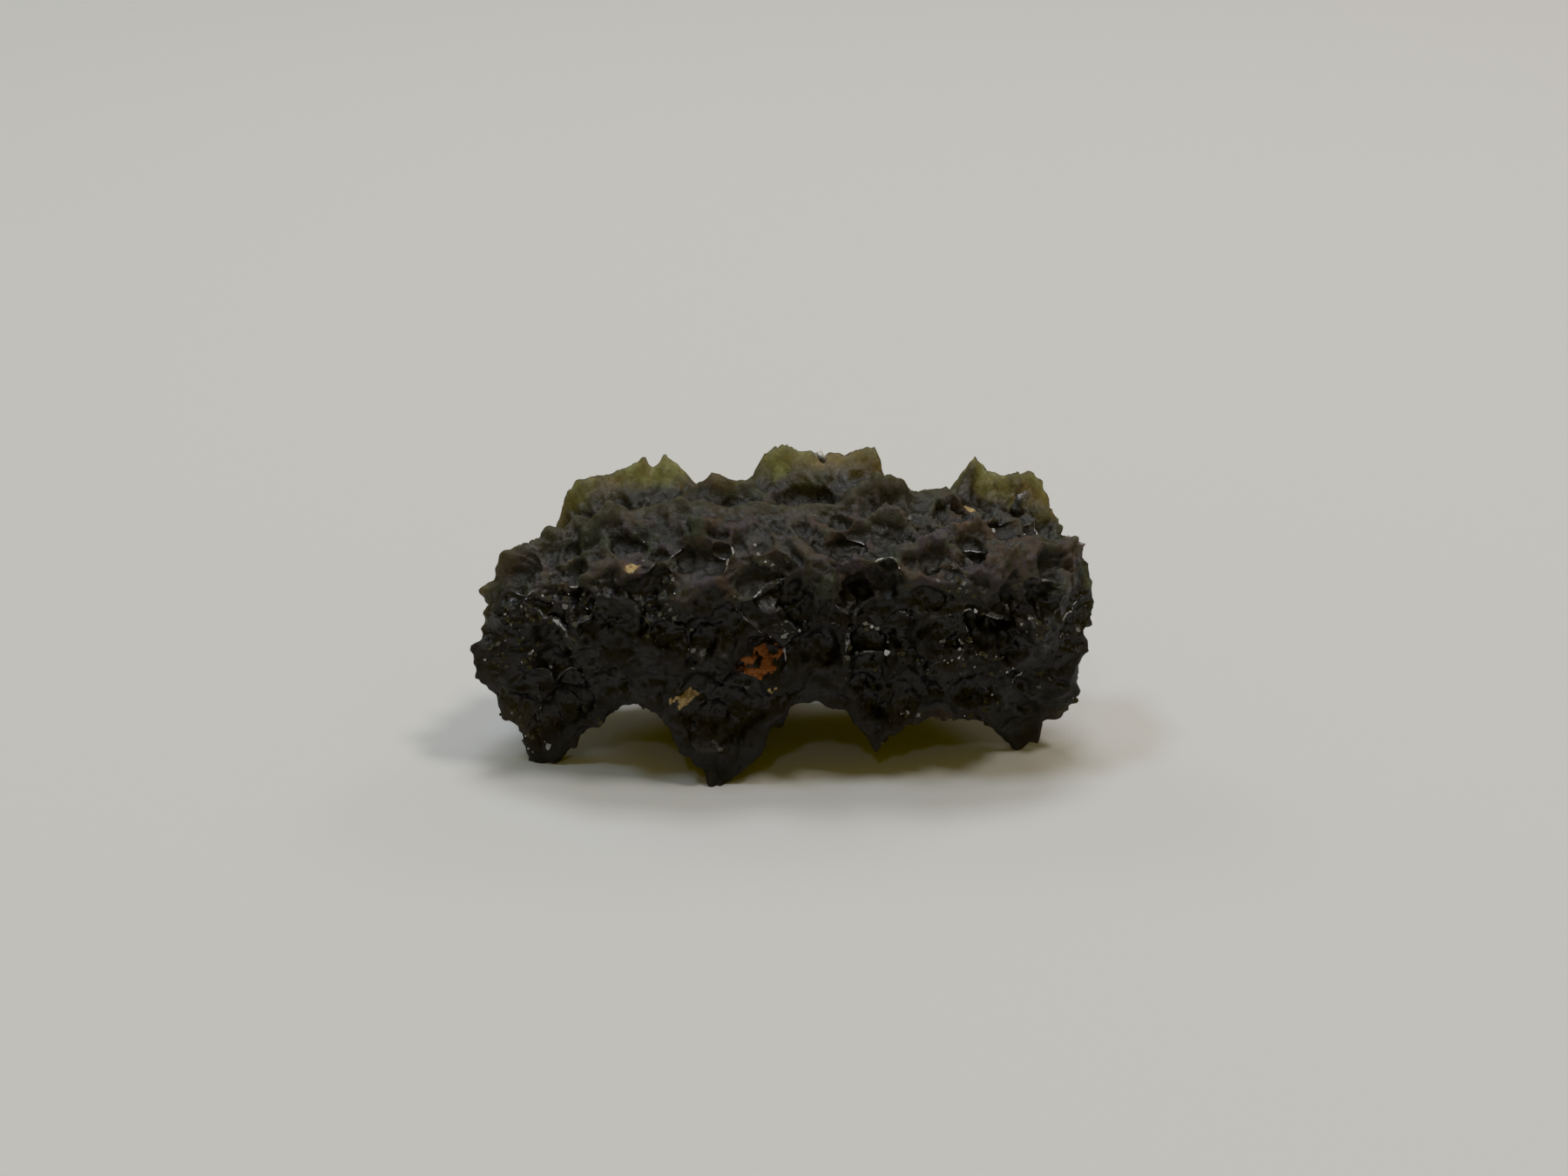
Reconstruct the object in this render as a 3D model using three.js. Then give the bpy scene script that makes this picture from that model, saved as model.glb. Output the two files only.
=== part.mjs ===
// A moldavite: one natural piece of olive-green glass, deeply etched all over.
//
// The surface is measured outwards from a straight core line that runs along the stone. A place on it is
// given by "along", a distance in millimetres along the core and round its ends, and by "round", an angle in
// degrees: 0 faces the front, 90 is up, 180 faces the back and 270 is down.
//
// The stone is worked out in four steps: a smooth blank, sharp crest lines raised out of it, ragged scoops
// dug into it, and two sizes of fine scallops over everything.

import * as THREE from 'three';
import { mergeVertices } from 'three/addons/utils/BufferGeometryUtils.js';

// Driving dimensions, in millimetres and degrees
const CORE_HALF_LENGTH = 10;
const CORE_HEIGHT = 9.6;
const CAPSULE_RADIUS = 7;
const LEFT_END_REACH = 6.5;
const RIGHT_END_REACH = 6.7;
const SECTION_POWER = 2.6;
const SECTION_SPREAD = 6;
const CREST_REACH = 0.74;
const SCOOP_LIP_SPREAD = 1.12;
const SCOOP_RAGGEDNESS = 0.75;
const SCOOP_LEAN = 0.45;
const SCOOP_SHARE_LOST_ON_A_CREST = 0.9;
const BOWL_POWER = 2.2;
const SCALLOP_RIM_LEVEL = 0.4;
const FOOT_WEAR = 0.45;

// The smoother upper slope lies between these two angles round, with a border as wide as the blend
const SLOPE_START = 18;
const SLOPE_END = 128;
const SLOPE_BLEND = 16;

// Mesh rows: round each end, along the middle, and round the stone
const END_ROWS = 18;
const MIDDLE_ROWS = 32;
const COLUMNS = 72;
const ROWS = 2 * END_ROWS + MIDDLE_ROWS;

// How far the blank reaches from the core at stations along the stone
const SECTIONS = [
  { x: -18.0, top: 2.6, bottom: 4.6, front: 4.8, back: 4.6 },
  { x: -15.5, top: 2.9, bottom: 5.3, front: 5.2, back: 5.0 },
  { x: -13.0, top: 3.4, bottom: 5.5, front: 5.5, back: 5.4 },
  { x: -10.0, top: 4.6, bottom: 5.0, front: 5.8, back: 5.8 },
  { x: -6.0, top: 5.3, bottom: 5.1, front: 6.0, back: 6.0 },
  { x: -2.0, top: 5.3, bottom: 5.5, front: 6.1, back: 6.1 },
  { x: 2.0, top: 5.1, bottom: 4.9, front: 6.0, back: 6.1 },
  { x: 6.0, top: 5.4, bottom: 5.4, front: 6.0, back: 6.0 },
  { x: 9.0, top: 5.1, bottom: 6.0, front: 5.8, back: 5.9 },
  { x: 12.0, top: 4.9, bottom: 6.0, front: 5.5, back: 5.7 },
  { x: 15.0, top: 4.1, bottom: 5.4, front: 5.1, back: 5.3 },
  { x: 18.0, top: 3.4, bottom: 4.8, front: 4.8, back: 4.8 },
];

// Crest lines: fins, ridges, legs and the ragged lower edge. A larger width makes a thicker foot to the
// crest, and a larger power makes its flanks bulge. Feet reach below the table, which wears them flat.
const CRESTS = [
  { name: 'left fin', width: 0.85, power: 1.3, points: [
    [-13.2, 3.0, 10.6], [-13.3, 3.6, 12.4], [-12.9, 4.2, 13.8], [-12.1, 4.5, 14.8], [-11.2, 4.6, 14.9],
    [-9.5, 4.6, 15.5], [-8.2, 4.4, 16.0], [-7.8, 4.4, 15.7], [-7.1, 4.4, 16.4], [-6.1, 4.2, 15.6],
    [-5.4, 3.8, 14.6]] },
  { name: 'low knob', width: 0.9, power: 1.3, points: [
    [-4.9, 2.2, 15.4], [-4.3, 2.0, 16.2], [-3.6, 2.0, 15.9], [-2.2, 2.2, 15.7]] },
  { name: 'middle fin', width: 0.85, power: 1.3, points: [
    [-1.8, 4.0, 15.2], [-1.2, 4.5, 16.5], [-0.8, 4.6, 16.8], [0.8, 4.7, 16.6], [1.8, 4.6, 16.8],
    [2.4, 4.5, 16.5], [4.0, 4.5, 16.6], [5.1, 4.4, 16.9], [5.4, 4.2, 15.6]] },
  { name: 'notch rim', width: 1.0, power: 1.3, points: [
    [4.4, 0.6, 16.0], [5.0, 1.0, 16.7], [5.4, 1.2, 16.1], [6.5, 1.5, 16.0], [7.0, 1.9, 15.1],
    [8.4, 2.4, 15.0], [9.4, 3.2, 14.6]] },
  { name: 'right fin', width: 0.75, power: 1.3, points: [
    [9.7, 4.2, 14.4], [10.3, 4.5, 15.2], [10.9, 4.6, 16.4], [11.4, 4.5, 16.0], [12.0, 4.4, 15.3],
    [13.6, 4.5, 14.8], [14.2, 4.6, 15.2], [14.9, 4.4, 14.7], [15.3, 4.0, 13.3]] },
  { name: 'right edge', width: 1.3, power: 1.3, points: [
    [15.4, 3.6, 13.2], [16.3, 3.0, 12.4], [16.9, 2.0, 11.5], [17.5, 1.0, 10.6], [17.6, 0.0, 9.6],
    [17.9, -0.5, 8.1], [17.4, -0.7, 7.2], [17.2, -1.0, 5.6]] },
  { name: 'right foot', width: 1.8, power: 1.5, points: [
    [17.2, -1.0, 5.6], [16.8, -1.4, 4.3], [17.0, -1.5, 3.4], [16.3, -1.7, 2.2], [15.2, -1.7, 1.3],
    [14.8, -1.7, 0.4], [13.8, -1.7, -0.5], [12.8, -2.0, 0.8], [12.1, -2.7, 1.8]] },
  { name: 'left edge', width: 1.1, power: 1.3, points: [
    [-12.4, 1.0, 14.0], [-12.9, 0.8, 13.1], [-13.7, 0.2, 13.2], [-14.6, -0.4, 12.8], [-16.2, -1.0, 12.3],
    [-16.7, -1.0, 11.1], [-17.4, -1.0, 10.0], [-16.7, -1.4, 9.1]] },
  { name: 'left horn', width: 2.1, power: 1.5, points: [
    [-16.7, -1.4, 9.1], [-16.6, -2.0, 8.0], [-17.4, -2.8, 7.2], [-18.0, -3.0, 6.1], [-17.1, -3.0, 4.2],
    [-16.2, -3.0, 2.6], [-15.4, -3.1, 1.4]] },
  { name: 'left foot', width: 1.9, power: 1.5, points: [
    [-15.4, -3.1, 1.4], [-15.0, -3.2, -0.3], [-14.1, -3.2, -0.4], [-12.3, -3.5, 1.2], [-10.8, -3.9, 2.6],
    [-9.9, -4.2, 3.9]] },
  { name: 'left arch', width: 1.4, power: 1.3, points: [
    [-9.9, -4.2, 3.9], [-9.1, -4.5, 4.4], [-8.1, -4.8, 4.4], [-7.2, -5.2, 4.2], [-6.5, -5.6, 3.6]] },
  { name: 'middle leg', width: 1.9, power: 1.6, points: [
    [-6.5, -5.6, 3.6], [-6.0, -6.0, 2.2], [-5.6, -6.1, 1.7], [-4.9, -6.3, 0.8], [-3.8, -6.4, -0.7],
    [-2.7, -6.3, 0.4], [-1.8, -6.1, 1.7], [-1.3, -5.7, 3.0]] },
  { name: 'lower edge with the thorn', width: 1.4, power: 1.3, points: [
    [-1.3, -5.7, 3.0], [-0.4, -5.2, 4.1], [0.7, -5.0, 4.5], [1.8, -4.8, 4.4], [3.0, -4.8, 3.9],
    [3.9, -4.8, 3.2], [4.5, -4.8, 2.4], [5.1, -4.8, 1.2], [5.6, -4.7, 2.3], [6.8, -4.5, 2.8],
    [8.7, -4.2, 2.8], [11.0, -3.4, 2.8], [12.1, -2.7, 1.8]] },
  { name: 'front crest', width: 0.9, power: 1.3, points: [
    [-11.5, -0.8, 14.0], [-10.0, -0.6, 15.2], [-8.8, -0.2, 14.4], [-6.0, -0.6, 15.7], [-4.0, -0.8, 15.2],
    [-1.6, -0.6, 15.5], [0.4, -0.6, 14.9], [3.0, -0.2, 15.3], [4.6, 0.6, 16.3]] },
  { name: 'back sill with the back foot', width: 1.7, power: 1.5, points: [
    [-14.0, 3.0, 4.6], [-11.0, 4.6, 3.6], [-8.0, 5.4, 3.2], [-5.2, 5.4, 2.2], [-3.0, 5.2, -0.7],
    [-1.2, 5.5, 2.2], [3.0, 5.6, 3.4], [7.0, 5.4, 2.4], [8.6, 5.2, 1.2], [10.0, 5.0, 2.6],
    [13.0, 4.0, 3.6], [15.5, 2.5, 5.0]] },
];

// Scoops: [along, round, radius, depth]
const UPPER_SLOPE_SCOOPS = [
  [-17.0, 44, 1.4, 0.8], [-13.5, 43, 1.5, 0.8], [-9.3, 54, 2.1, 1.0], [-9.9, 36, 1.1, 0.6],
  [-6.2, 56, 1.0, 0.7], [-5.5, 40, 1.7, 1.0], [-1.8, 53, 1.4, 0.7], [-1.6, 32, 1.6, 0.9],
  [-3.9, 60, 0.5, 0.6], [-3.7, 48, 0.4, 0.5], [2.4, 84, 1.5, 0.8], [0.1, 68, 1.1, 0.5],
  [3.2, 50, 1.2, 0.8], [5.1, 64, 1.4, 0.7], [7.6, 65, 1.7, 0.8], [8.3, 41, 1.2, 0.7],
  [10.6, 55, 1.5, 0.8], [13.1, 65, 1.1, 0.7], [16.4, 46, 1.0, 0.7], [10.4, 43, 0.75, 1.2],
];
const TOP_SCOOPS = [
  [-13.5, 70, 1.5, 0.8], [-11.5, 82, 1.6, 0.8], [-9.5, 102, 1.8, 0.9], [-7.8, 107, 1.3, 0.5],
  [-5.6, 85, 1.4, 0.8], [-3.2, 100, 1.5, 0.8], [-1.0, 80, 1.3, 0.7], [0.8, 102, 1.7, 0.8],
  [5.0, 98, 1.4, 0.8], [7.5, 95, 1.8, 0.9], [9.6, 85, 1.3, 0.7], [11.6, 97, 1.6, 0.9],
  [13.6, 78, 1.3, 0.7], [13.6, 116, 1.5, 0.8], [16.0, 108, 1.3, 0.8],
];
const FRONT_SCOOPS = [
  [-17.2, 12, 0.9, 0.5], [-15.8, 356, 1.1, 0.8], [-13.7, 16, 1.5, 0.9], [-13.7, 336, 2.4, 1.8],
  [-11.0, 355, 1.1, 0.7], [-10.1, 29, 0.9, 0.5], [-8.9, 348, 1.8, 0.9], [-7.8, 22, 1.4, 1.1],
  [-7.6, 10, 0.6, 0.7], [-7.6, 332, 1.1, 0.6], [-6.6, 354, 1.2, 0.8], [-4.7, 16, 1.1, 0.7],
  [-4.1, 0, 1.4, 1.0], [-2.4, 358, 0.8, 0.6], [-1.6, 341, 1.3, 0.8], [-0.1, 13, 1.6, 1.2],
  [1.6, 348, 1.3, 1.0], [3.5, 32, 1.0, 0.7], [4.3, 0, 0.8, 0.6], [5.3, 18, 1.8, 1.6],
  [5.7, 346, 2.0, 1.6], [7.6, 18, 0.8, 0.5], [8.9, 353, 1.2, 0.9], [10.1, 12, 0.9, 0.5],
  [12.0, 343, 2.1, 1.6], [12.4, 17, 1.1, 0.6], [13.9, 1, 1.1, 0.7], [15.4, 14, 1.3, 0.9],
];
const LOWER_EDGE_SCOOPS = [
  [-16.6, 324, 1.0, 0.6], [-14.7, 310, 1.1, 0.7], [-12.9, 298, 1.2, 0.7], [-11.4, 316, 1.2, 0.7],
  [-5.5, 314, 0.9, 0.5], [-3.7, 317, 1.0, 0.8], [-3.4, 307, 0.9, 0.6], [-2.2, 313, 1.0, 0.6],
  [-1.1, 319, 0.7, 0.6], [-0.1, 318, 0.9, 0.7], [1.4, 323, 0.9, 0.6], [3.2, 314, 0.9, 0.6],
  [6.0, 314, 0.8, 0.7], [7.4, 314, 0.9, 0.6], [9.1, 322, 1.3, 0.8], [11.8, 302, 1.1, 0.7],
  [12.8, 287, 0.7, 0.5], [13.9, 289, 1.2, 0.9], [15.2, 295, 1.0, 0.6], [16.2, 314, 1.3, 0.9],
];

// The back and the underside carry scoops that are spread evenly over them
const LARGE_BACK_SCOOPS = { count: 58, seed: 1, from: 118, to: 322, smallest: 1.6, largest: 2.9, depth: 0.42 };
const SMALL_BACK_SCOOPS = { count: 50, seed: 2, from: 112, to: 330, smallest: 0.9, largest: 1.5, depth: 0.5 };

// Scallops: the width of one, its depth on the upper slope and elsewhere, and the share left on a crest
const SCALLOPS = [
  { width: 2.3, slopeDepth: 0.65, depth: 1.0, seed: 10, onCrest: 0.35 },
  { width: 1.15, slopeDepth: 0.24, depth: 0.36, seed: 20, onCrest: 0.5 },
];

// Spread scoops: room left free at the ends, scatter along, share of a turn for a seed, and range of depths
const SPREAD_END_ROOM = 2;
const SPREAD_SCATTER = 0.8;
const SPREAD_SEED_TURN = 0.13;
const SPREAD_SHALLOWEST = 0.8;
const SPREAD_DEPTH_RANGE = 0.5;

// Every scoop is drawn out along the stone by up to this share, and its lean slants by up to half of the slant
const SCOOP_STRETCH = { range: 0.35, seed: 31 };
const SCOOP_SLANT = { range: 0.3, seed: 33 };

// Two sizes of noise make the scoops' outlines ragged
const COARSE_RAGGEDNESS = { distance: 1.7, seed: 3 };
const FINE_RAGGEDNESS = { distance: 0.8, seed: 6, share: 0.5 };

// Scallops, in widths: how far apart their outlines wander and by how much, and how far apart strengths vary
const SCALLOP_WANDER = { distance: 2.2, reach: 1.1, seed: 50 };
const SCALLOP_STRENGTH = { distance: 3.1, least: 0.3, range: 1.3, seed: 30 };
const SCALLOP_SHARE_LOST_BY_A_CREST = 0.3;
const CELL_JITTER = 0.9;

// Repeatable noise is the fraction of a sine of these steps, stretched
const SCATTER_STEPS = { index: 12.9898, seed: 78.233 };
const LATTICE_STEPS = { x: 127.1, y: 311.7, z: 74.7, seed: 53.3 };
const NOISE_STRETCH = 43758.5453;

const POLE_DIRECTION = 0.9999;
const MERGE_DISTANCE = 1e-4;
const GOLDEN_RATIO = 0.6180339887;
const NEIGHBOURS = [-1, 0, 1];
const CORNERS = [0, 1];

const degrees = THREE.MathUtils.degToRad;
const clamp = THREE.MathUtils.clamp;

const fraction = (value) => value - Math.floor(value);

// Repeatable noise between 0 and 1, from one whole number or from a cell of a cubic lattice
function scatter(index, seed) {
  const mixed = index * SCATTER_STEPS.index + seed * SCATTER_STEPS.seed;
  return fraction(Math.sin(mixed) * NOISE_STRETCH);
}

function cellNoise(x, y, z, seed) {
  const place = x * LATTICE_STEPS.x + y * LATTICE_STEPS.y + z * LATTICE_STEPS.z;
  return fraction(Math.sin(place + seed * LATTICE_STEPS.seed) * NOISE_STRETCH);
}

// Smooth noise between 0 and 1 that changes over the given distance
function smoothNoise(point, distance, seed) {
  const scaled = point.clone().divideScalar(distance);
  const cell = scaled.clone().floor();
  const ease = (value) => value * value * (3 - 2 * value);
  const share = new THREE.Vector3(ease(scaled.x - cell.x), ease(scaled.y - cell.y), ease(scaled.z - cell.z));
  let sum = 0;
  for (const i of CORNERS) {
    for (const j of CORNERS) {
      for (const k of CORNERS) {
        const weightX = i ? share.x : 1 - share.x;
        const weightY = j ? share.y : 1 - share.y;
        const weightZ = k ? share.z : 1 - share.z;
        sum += weightX * weightY * weightZ * cellNoise(cell.x + i, cell.y + j, cell.z + k, seed);
      }
    }
  }
  return sum;
}

const wander = (point, distance, seed) => new THREE.Vector3(
  smoothNoise(point, distance, seed) - 0.5,
  smoothNoise(point, distance, seed + 1) - 0.5,
  smoothNoise(point, distance, seed + 2) - 0.5,
);

// The core point and the outward direction of a place on the stone
function frameAt(along, round) {
  const bend = clamp((Math.abs(along) - CORE_HALF_LENGTH) / CAPSULE_RADIUS, 0, Math.PI / 2);
  const angle = degrees(round);
  const sideways = Math.cos(bend);
  return {
    core: new THREE.Vector3(clamp(along, -CORE_HALF_LENGTH, CORE_HALF_LENGTH), 0, CORE_HEIGHT),
    outward: new THREE.Vector3(
      Math.sign(along) * Math.sin(bend),
      -sideways * Math.cos(angle),
      sideways * Math.sin(angle),
    ),
  };
}

// A section's reach between two stations
function reachAt(x, side) {
  const last = SECTIONS.length - 1;
  if (x <= SECTIONS[0].x) return SECTIONS[0][side];
  if (x >= SECTIONS[last].x) return SECTIONS[last][side];
  const next = SECTIONS.findIndex((section) => section.x > x);
  const before = SECTIONS[next - 1];
  const after = SECTIONS[next];
  return THREE.MathUtils.mapLinear(x, before.x, after.x, before[side], after[side]);
}

// Radius of the smooth blank, a superellipse round every section
function blankRadius({ core, outward }) {
  const x = core.x + outward.x * SECTION_SPREAD;
  const endReach = outward.x < 0 ? LEFT_END_REACH : RIGHT_END_REACH;
  const depthReach = reachAt(x, outward.y < 0 ? 'front' : 'back');
  const heightReach = reachAt(x, outward.z > 0 ? 'top' : 'bottom');
  const sum = (Math.abs(outward.x) / endReach) ** SECTION_POWER
    + (Math.abs(outward.y) / depthReach) ** SECTION_POWER
    + (Math.abs(outward.z) / heightReach) ** SECTION_POWER;
  return sum ** (-1 / SECTION_POWER);
}

const CREST_SEGMENTS = CRESTS.flatMap(({ width, power, points }) => points.slice(1).map((point, index) => {
  const start = new THREE.Vector3(...points[index]);
  return { width, power, start, step: new THREE.Vector3(...point).sub(start) };
}));

// The radius raised to the crest lines, and how closely this direction runs to one (1 on it)
function crestedRadius(frame) {
  const blank = blankRadius(frame);
  let radius = blank;
  let closeness = 0;
  for (const { width, power, start, step } of CREST_SEGMENTS) {
    const offset = start.clone().sub(frame.core);
    const offsetOut = offset.dot(frame.outward);
    const stepOut = step.dot(frame.outward);
    const aside = offset.addScaledVector(frame.outward, -offsetOut);
    const stepAside = step.clone().addScaledVector(frame.outward, -stepOut);
    const share = clamp(-aside.dot(stepAside) / Math.max(stepAside.lengthSq(), 1e-9), 0, 1);
    const crestRadius = offsetOut + share * stepOut;
    if (crestRadius <= 0) continue;
    const miss = aside.addScaledVector(stepAside, share).length();
    const pull = Math.exp(-((miss / width) ** power));
    radius = Math.max(radius, blank + (crestRadius - blank) * pull);
    closeness = Math.max(closeness, pull);
  }
  return { radius, closeness };
}

// 1 on a crest line, falling to 0 about a millimetre and a half away
function crestNearness(point) {
  let nearest = Infinity;
  for (const { start, step } of CREST_SEGMENTS) {
    const offset = point.clone().sub(start);
    const share = clamp(offset.dot(step) / step.lengthSq(), 0, 1);
    nearest = Math.min(nearest, offset.addScaledVector(step, -share).lengthSq());
  }
  return Math.exp(-nearest / (CREST_REACH * CREST_REACH));
}

const pointAt = (frame, radius) => frame.core.clone().addScaledVector(frame.outward, radius);

function crestedPoint(along, round) {
  const frame = frameAt(along, round);
  return pointAt(frame, crestedRadius(frame).radius);
}

// The crested surface's own outward direction, from four places close by
function surfaceNormal(along, round) {
  const stepAlong = 0.3;
  const stepRound = 2.5;
  const lengthwise = crestedPoint(along + stepAlong, round).sub(crestedPoint(along - stepAlong, round));
  const crosswise = crestedPoint(along, round + stepRound).sub(crestedPoint(along, round - stepRound));
  return lengthwise.cross(crosswise).normalize();
}

function spreadScoops({ count, seed, from, to, smallest, largest, depth }) {
  const halfSpan = CORE_HALF_LENGTH + CAPSULE_RADIUS * Math.PI / 2 - SPREAD_END_ROOM;
  return Array.from({ length: count }, (_, index) => {
    const evenly = (2 * (index + 0.5) / count - 1) * halfSpan;
    const along = evenly + SPREAD_SCATTER * (scatter(index, seed + 1) - 0.5);
    const round = from + (to - from) * fraction(index * GOLDEN_RATIO + SPREAD_SEED_TURN * seed);
    const radius = smallest + (largest - smallest) * scatter(index, seed);
    const relativeDepth = depth * (SPREAD_SHALLOWEST + SPREAD_DEPTH_RANGE * scatter(index, seed + 2));
    return [along, round, radius, radius * relativeDepth];
  });
}

const SCOOPS = [
  ...UPPER_SLOPE_SCOOPS,
  ...TOP_SCOOPS,
  ...FRONT_SCOOPS,
  ...LOWER_EDGE_SCOOPS,
  ...spreadScoops(LARGE_BACK_SCOOPS),
  ...spreadScoops(SMALL_BACK_SCOOPS),
].map(([along, round, radius, depth], index) => ({
  lip: crestedPoint(along, round),
  radius: radius * SCOOP_LIP_SPREAD,
  depth,
  stretch: 1 / (1 + SCOOP_STRETCH.range * scatter(index, SCOOP_STRETCH.seed)),
  lean: new THREE.Vector3(SCOOP_SLANT.range * (scatter(index, SCOOP_SLANT.seed) - 0.5), 0, 1),
}));

// How deep the scoops bite: the deepest one wins, so that they meet in sharp ridges
function scoopDepth(point) {
  const fine = wander(point, FINE_RAGGEDNESS.distance, FINE_RAGGEDNESS.seed);
  const ragged = wander(point, COARSE_RAGGEDNESS.distance, COARSE_RAGGEDNESS.seed);
  ragged.addScaledVector(fine, FINE_RAGGEDNESS.share);
  let bite = 0;
  for (const { lip, radius, depth, stretch, lean } of SCOOPS) {
    const offset = point.clone().addScaledVector(ragged, radius * SCOOP_RAGGEDNESS).sub(lip);
    const tilt = clamp(offset.dot(lean) / radius, -1, 1);
    offset.x *= stretch;
    const away = offset.length() / radius;
    bite = Math.max(bite, depth * (1 - away ** BOWL_POWER) * (1 + SCOOP_LEAN * tilt));
  }
  return bite;
}

// Squared distance, in cells, to the nearest of the points scattered one to a cell
function cellDistance(point, size, seed) {
  const scaled = point.clone().divideScalar(size);
  const cell = scaled.clone().floor();
  const jitter = (x, y, z, salt) => CELL_JITTER * (cellNoise(x, y, z, salt) - 0.5);
  let nearest = Infinity;
  for (const i of NEIGHBOURS) {
    for (const j of NEIGHBOURS) {
      for (const k of NEIGHBOURS) {
        const x = cell.x + i;
        const y = cell.y + j;
        const z = cell.z + k;
        const dx = x + 0.5 + jitter(x, y, z, seed) - scaled.x;
        const dy = y + 0.5 + jitter(x, y, z, seed + 1) - scaled.y;
        const dz = z + 0.5 + jitter(x, y, z, seed + 2) - scaled.z;
        nearest = Math.min(nearest, dx * dx + dy * dy + dz * dz);
      }
    }
  }
  return nearest;
}

// 0 on the smoother upper slope, 1 on the front, the back and the underside
function roughness(round) {
  const angle = THREE.MathUtils.euclideanModulo(round, 360);
  const pastStart = clamp((angle - SLOPE_START) / SLOPE_BLEND, 0, 1);
  const beforeEnd = clamp((SLOPE_END - angle) / SLOPE_BLEND, 0, 1);
  return 1 - pastStart * beforeEnd;
}

// The finished surface at one place
function stonePoint(along, round) {
  const frame = frameAt(along, round);
  const { radius, closeness } = crestedRadius(frame);
  const surface = pointAt(frame, radius);
  const nearness = crestNearness(surface);
  const atPole = Math.abs(frame.outward.x) > POLE_DIRECTION;
  const normal = atPole ? frame.outward.clone() : surfaceNormal(along, round);
  const push = normal.lerp(frame.outward, nearness).normalize();
  const awayFromCrests = (1 - SCOOP_SHARE_LOST_ON_A_CREST * closeness) * (1 - nearness);
  surface.addScaledVector(push, -scoopDepth(surface) * awayFromCrests);
  let raised = 0;
  for (const { width, slopeDepth, depth, seed, onCrest } of SCALLOPS) {
    const place = surface.clone().addScaledVector(push, raised);
    const drift = wander(place, width * SCALLOP_WANDER.distance, seed + SCALLOP_WANDER.seed);
    const ragged = place.clone().addScaledVector(drift, width * SCALLOP_WANDER.reach);
    const patch = smoothNoise(place, width * SCALLOP_STRENGTH.distance, seed + SCALLOP_STRENGTH.seed);
    const strength = SCALLOP_STRENGTH.least + SCALLOP_STRENGTH.range * patch;
    const bowl = SCALLOP_RIM_LEVEL - cellDistance(ragged, width, seed);
    const share = (1 - (1 - onCrest) * nearness) * (1 - SCALLOP_SHARE_LOST_BY_A_CREST * closeness);
    raised -= THREE.MathUtils.lerp(slopeDepth, depth, roughness(round)) * strength * bowl * share;
  }
  surface.addScaledVector(push, raised);
  if (surface.z < FOOT_WEAR) surface.z = 0;
  return surface;
}

const distanceToCore = (point) => Math.hypot(
  point.x - clamp(point.x, -CORE_HALF_LENGTH, CORE_HALF_LENGTH),
  point.y,
  point.z - CORE_HEIGHT,
);

// Two triangles for every cell of the grid, split along the diagonal that stands further out, so that the
// ridges stay whole. A triangle that has shrunk to nothing at either end of the grid is left out.
function ridgeTriangles(position) {
  const pointsPerRow = COLUMNS + 1;
  const corner = (index) => new THREE.Vector3().fromBufferAttribute(position, index);
  const middle = (first, second) => corner(first).lerp(corner(second), 0.5);
  const triangles = [];
  for (let row = 0; row < ROWS; row += 1) {
    for (let column = 0; column < COLUMNS; column += 1) {
      const first = row * pointsPerRow + column;
      const second = first + 1;
      const third = first + pointsPerRow;
      const fourth = third + 1;
      const swap = distanceToCore(middle(first, fourth)) > distanceToCore(middle(second, third));
      const lower = swap ? [first, second, fourth] : [first, second, third];
      const upper = swap ? [first, fourth, third] : [second, fourth, third];
      if (row > 0) triangles.push(...lower);
      if (row < ROWS - 1) triangles.push(...upper);
    }
  }
  return triangles;
}

// A capsule along the core, pushed in and out to the stone's surface, with its seam and its poles closed up
function stoneGeometry() {
  const length = 2 * CORE_HALF_LENGTH;
  const capsule = new THREE.CapsuleGeometry(CAPSULE_RADIUS, length, END_ROWS, COLUMNS, MIDDLE_ROWS);
  capsule.rotateZ(-Math.PI / 2);
  const position = capsule.getAttribute('position');
  for (let i = 0; i < position.count; i += 1) {
    const x = position.getX(i);
    const coreX = clamp(x, -CORE_HALF_LENGTH, CORE_HALF_LENGTH);
    const bend = Math.asin(clamp((x - coreX) / CAPSULE_RADIUS, -1, 1));
    const round = THREE.MathUtils.radToDeg(Math.atan2(position.getZ(i), -position.getY(i)));
    const point = stonePoint(coreX + bend * CAPSULE_RADIUS, round);
    position.setXYZ(i, point.x, point.y, point.z);
  }
  capsule.setIndex(ridgeTriangles(position));
  capsule.deleteAttribute('normal');
  capsule.deleteAttribute('uv');
  const geometry = mergeVertices(capsule, MERGE_DISTANCE);
  geometry.computeBoundingBox();
  const middle = geometry.boundingBox.getCenter(new THREE.Vector3());
  geometry.translate(-middle.x, -middle.y, 0);
  geometry.computeVertexNormals();
  return geometry;
}

// Nearly black olive glass, frosted by etching
const glass = new THREE.MeshStandardMaterial({ color: 0x2b2a16, roughness: 0.35, metalness: 0 });

const moldavite = new THREE.Mesh(stoneGeometry(), glass);
moldavite.name = 'moldavite';

const stone = new THREE.Group();
stone.add(moldavite);

export default stone;
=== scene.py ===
"""A moldavite: one natural piece of olive-green glass, deeply etched all over, with a little dried clay in
its pits.

The stone's surface is measured outwards from a straight core line that runs along it. A place on it is given
by "along", a distance in millimetres along the core and round its ends, and by "round", an angle in degrees:
0 faces the front, 90 is up, 180 faces the back and 270 is down. Lengths are in millimetres until a mesh is
made.
"""

import math

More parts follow.
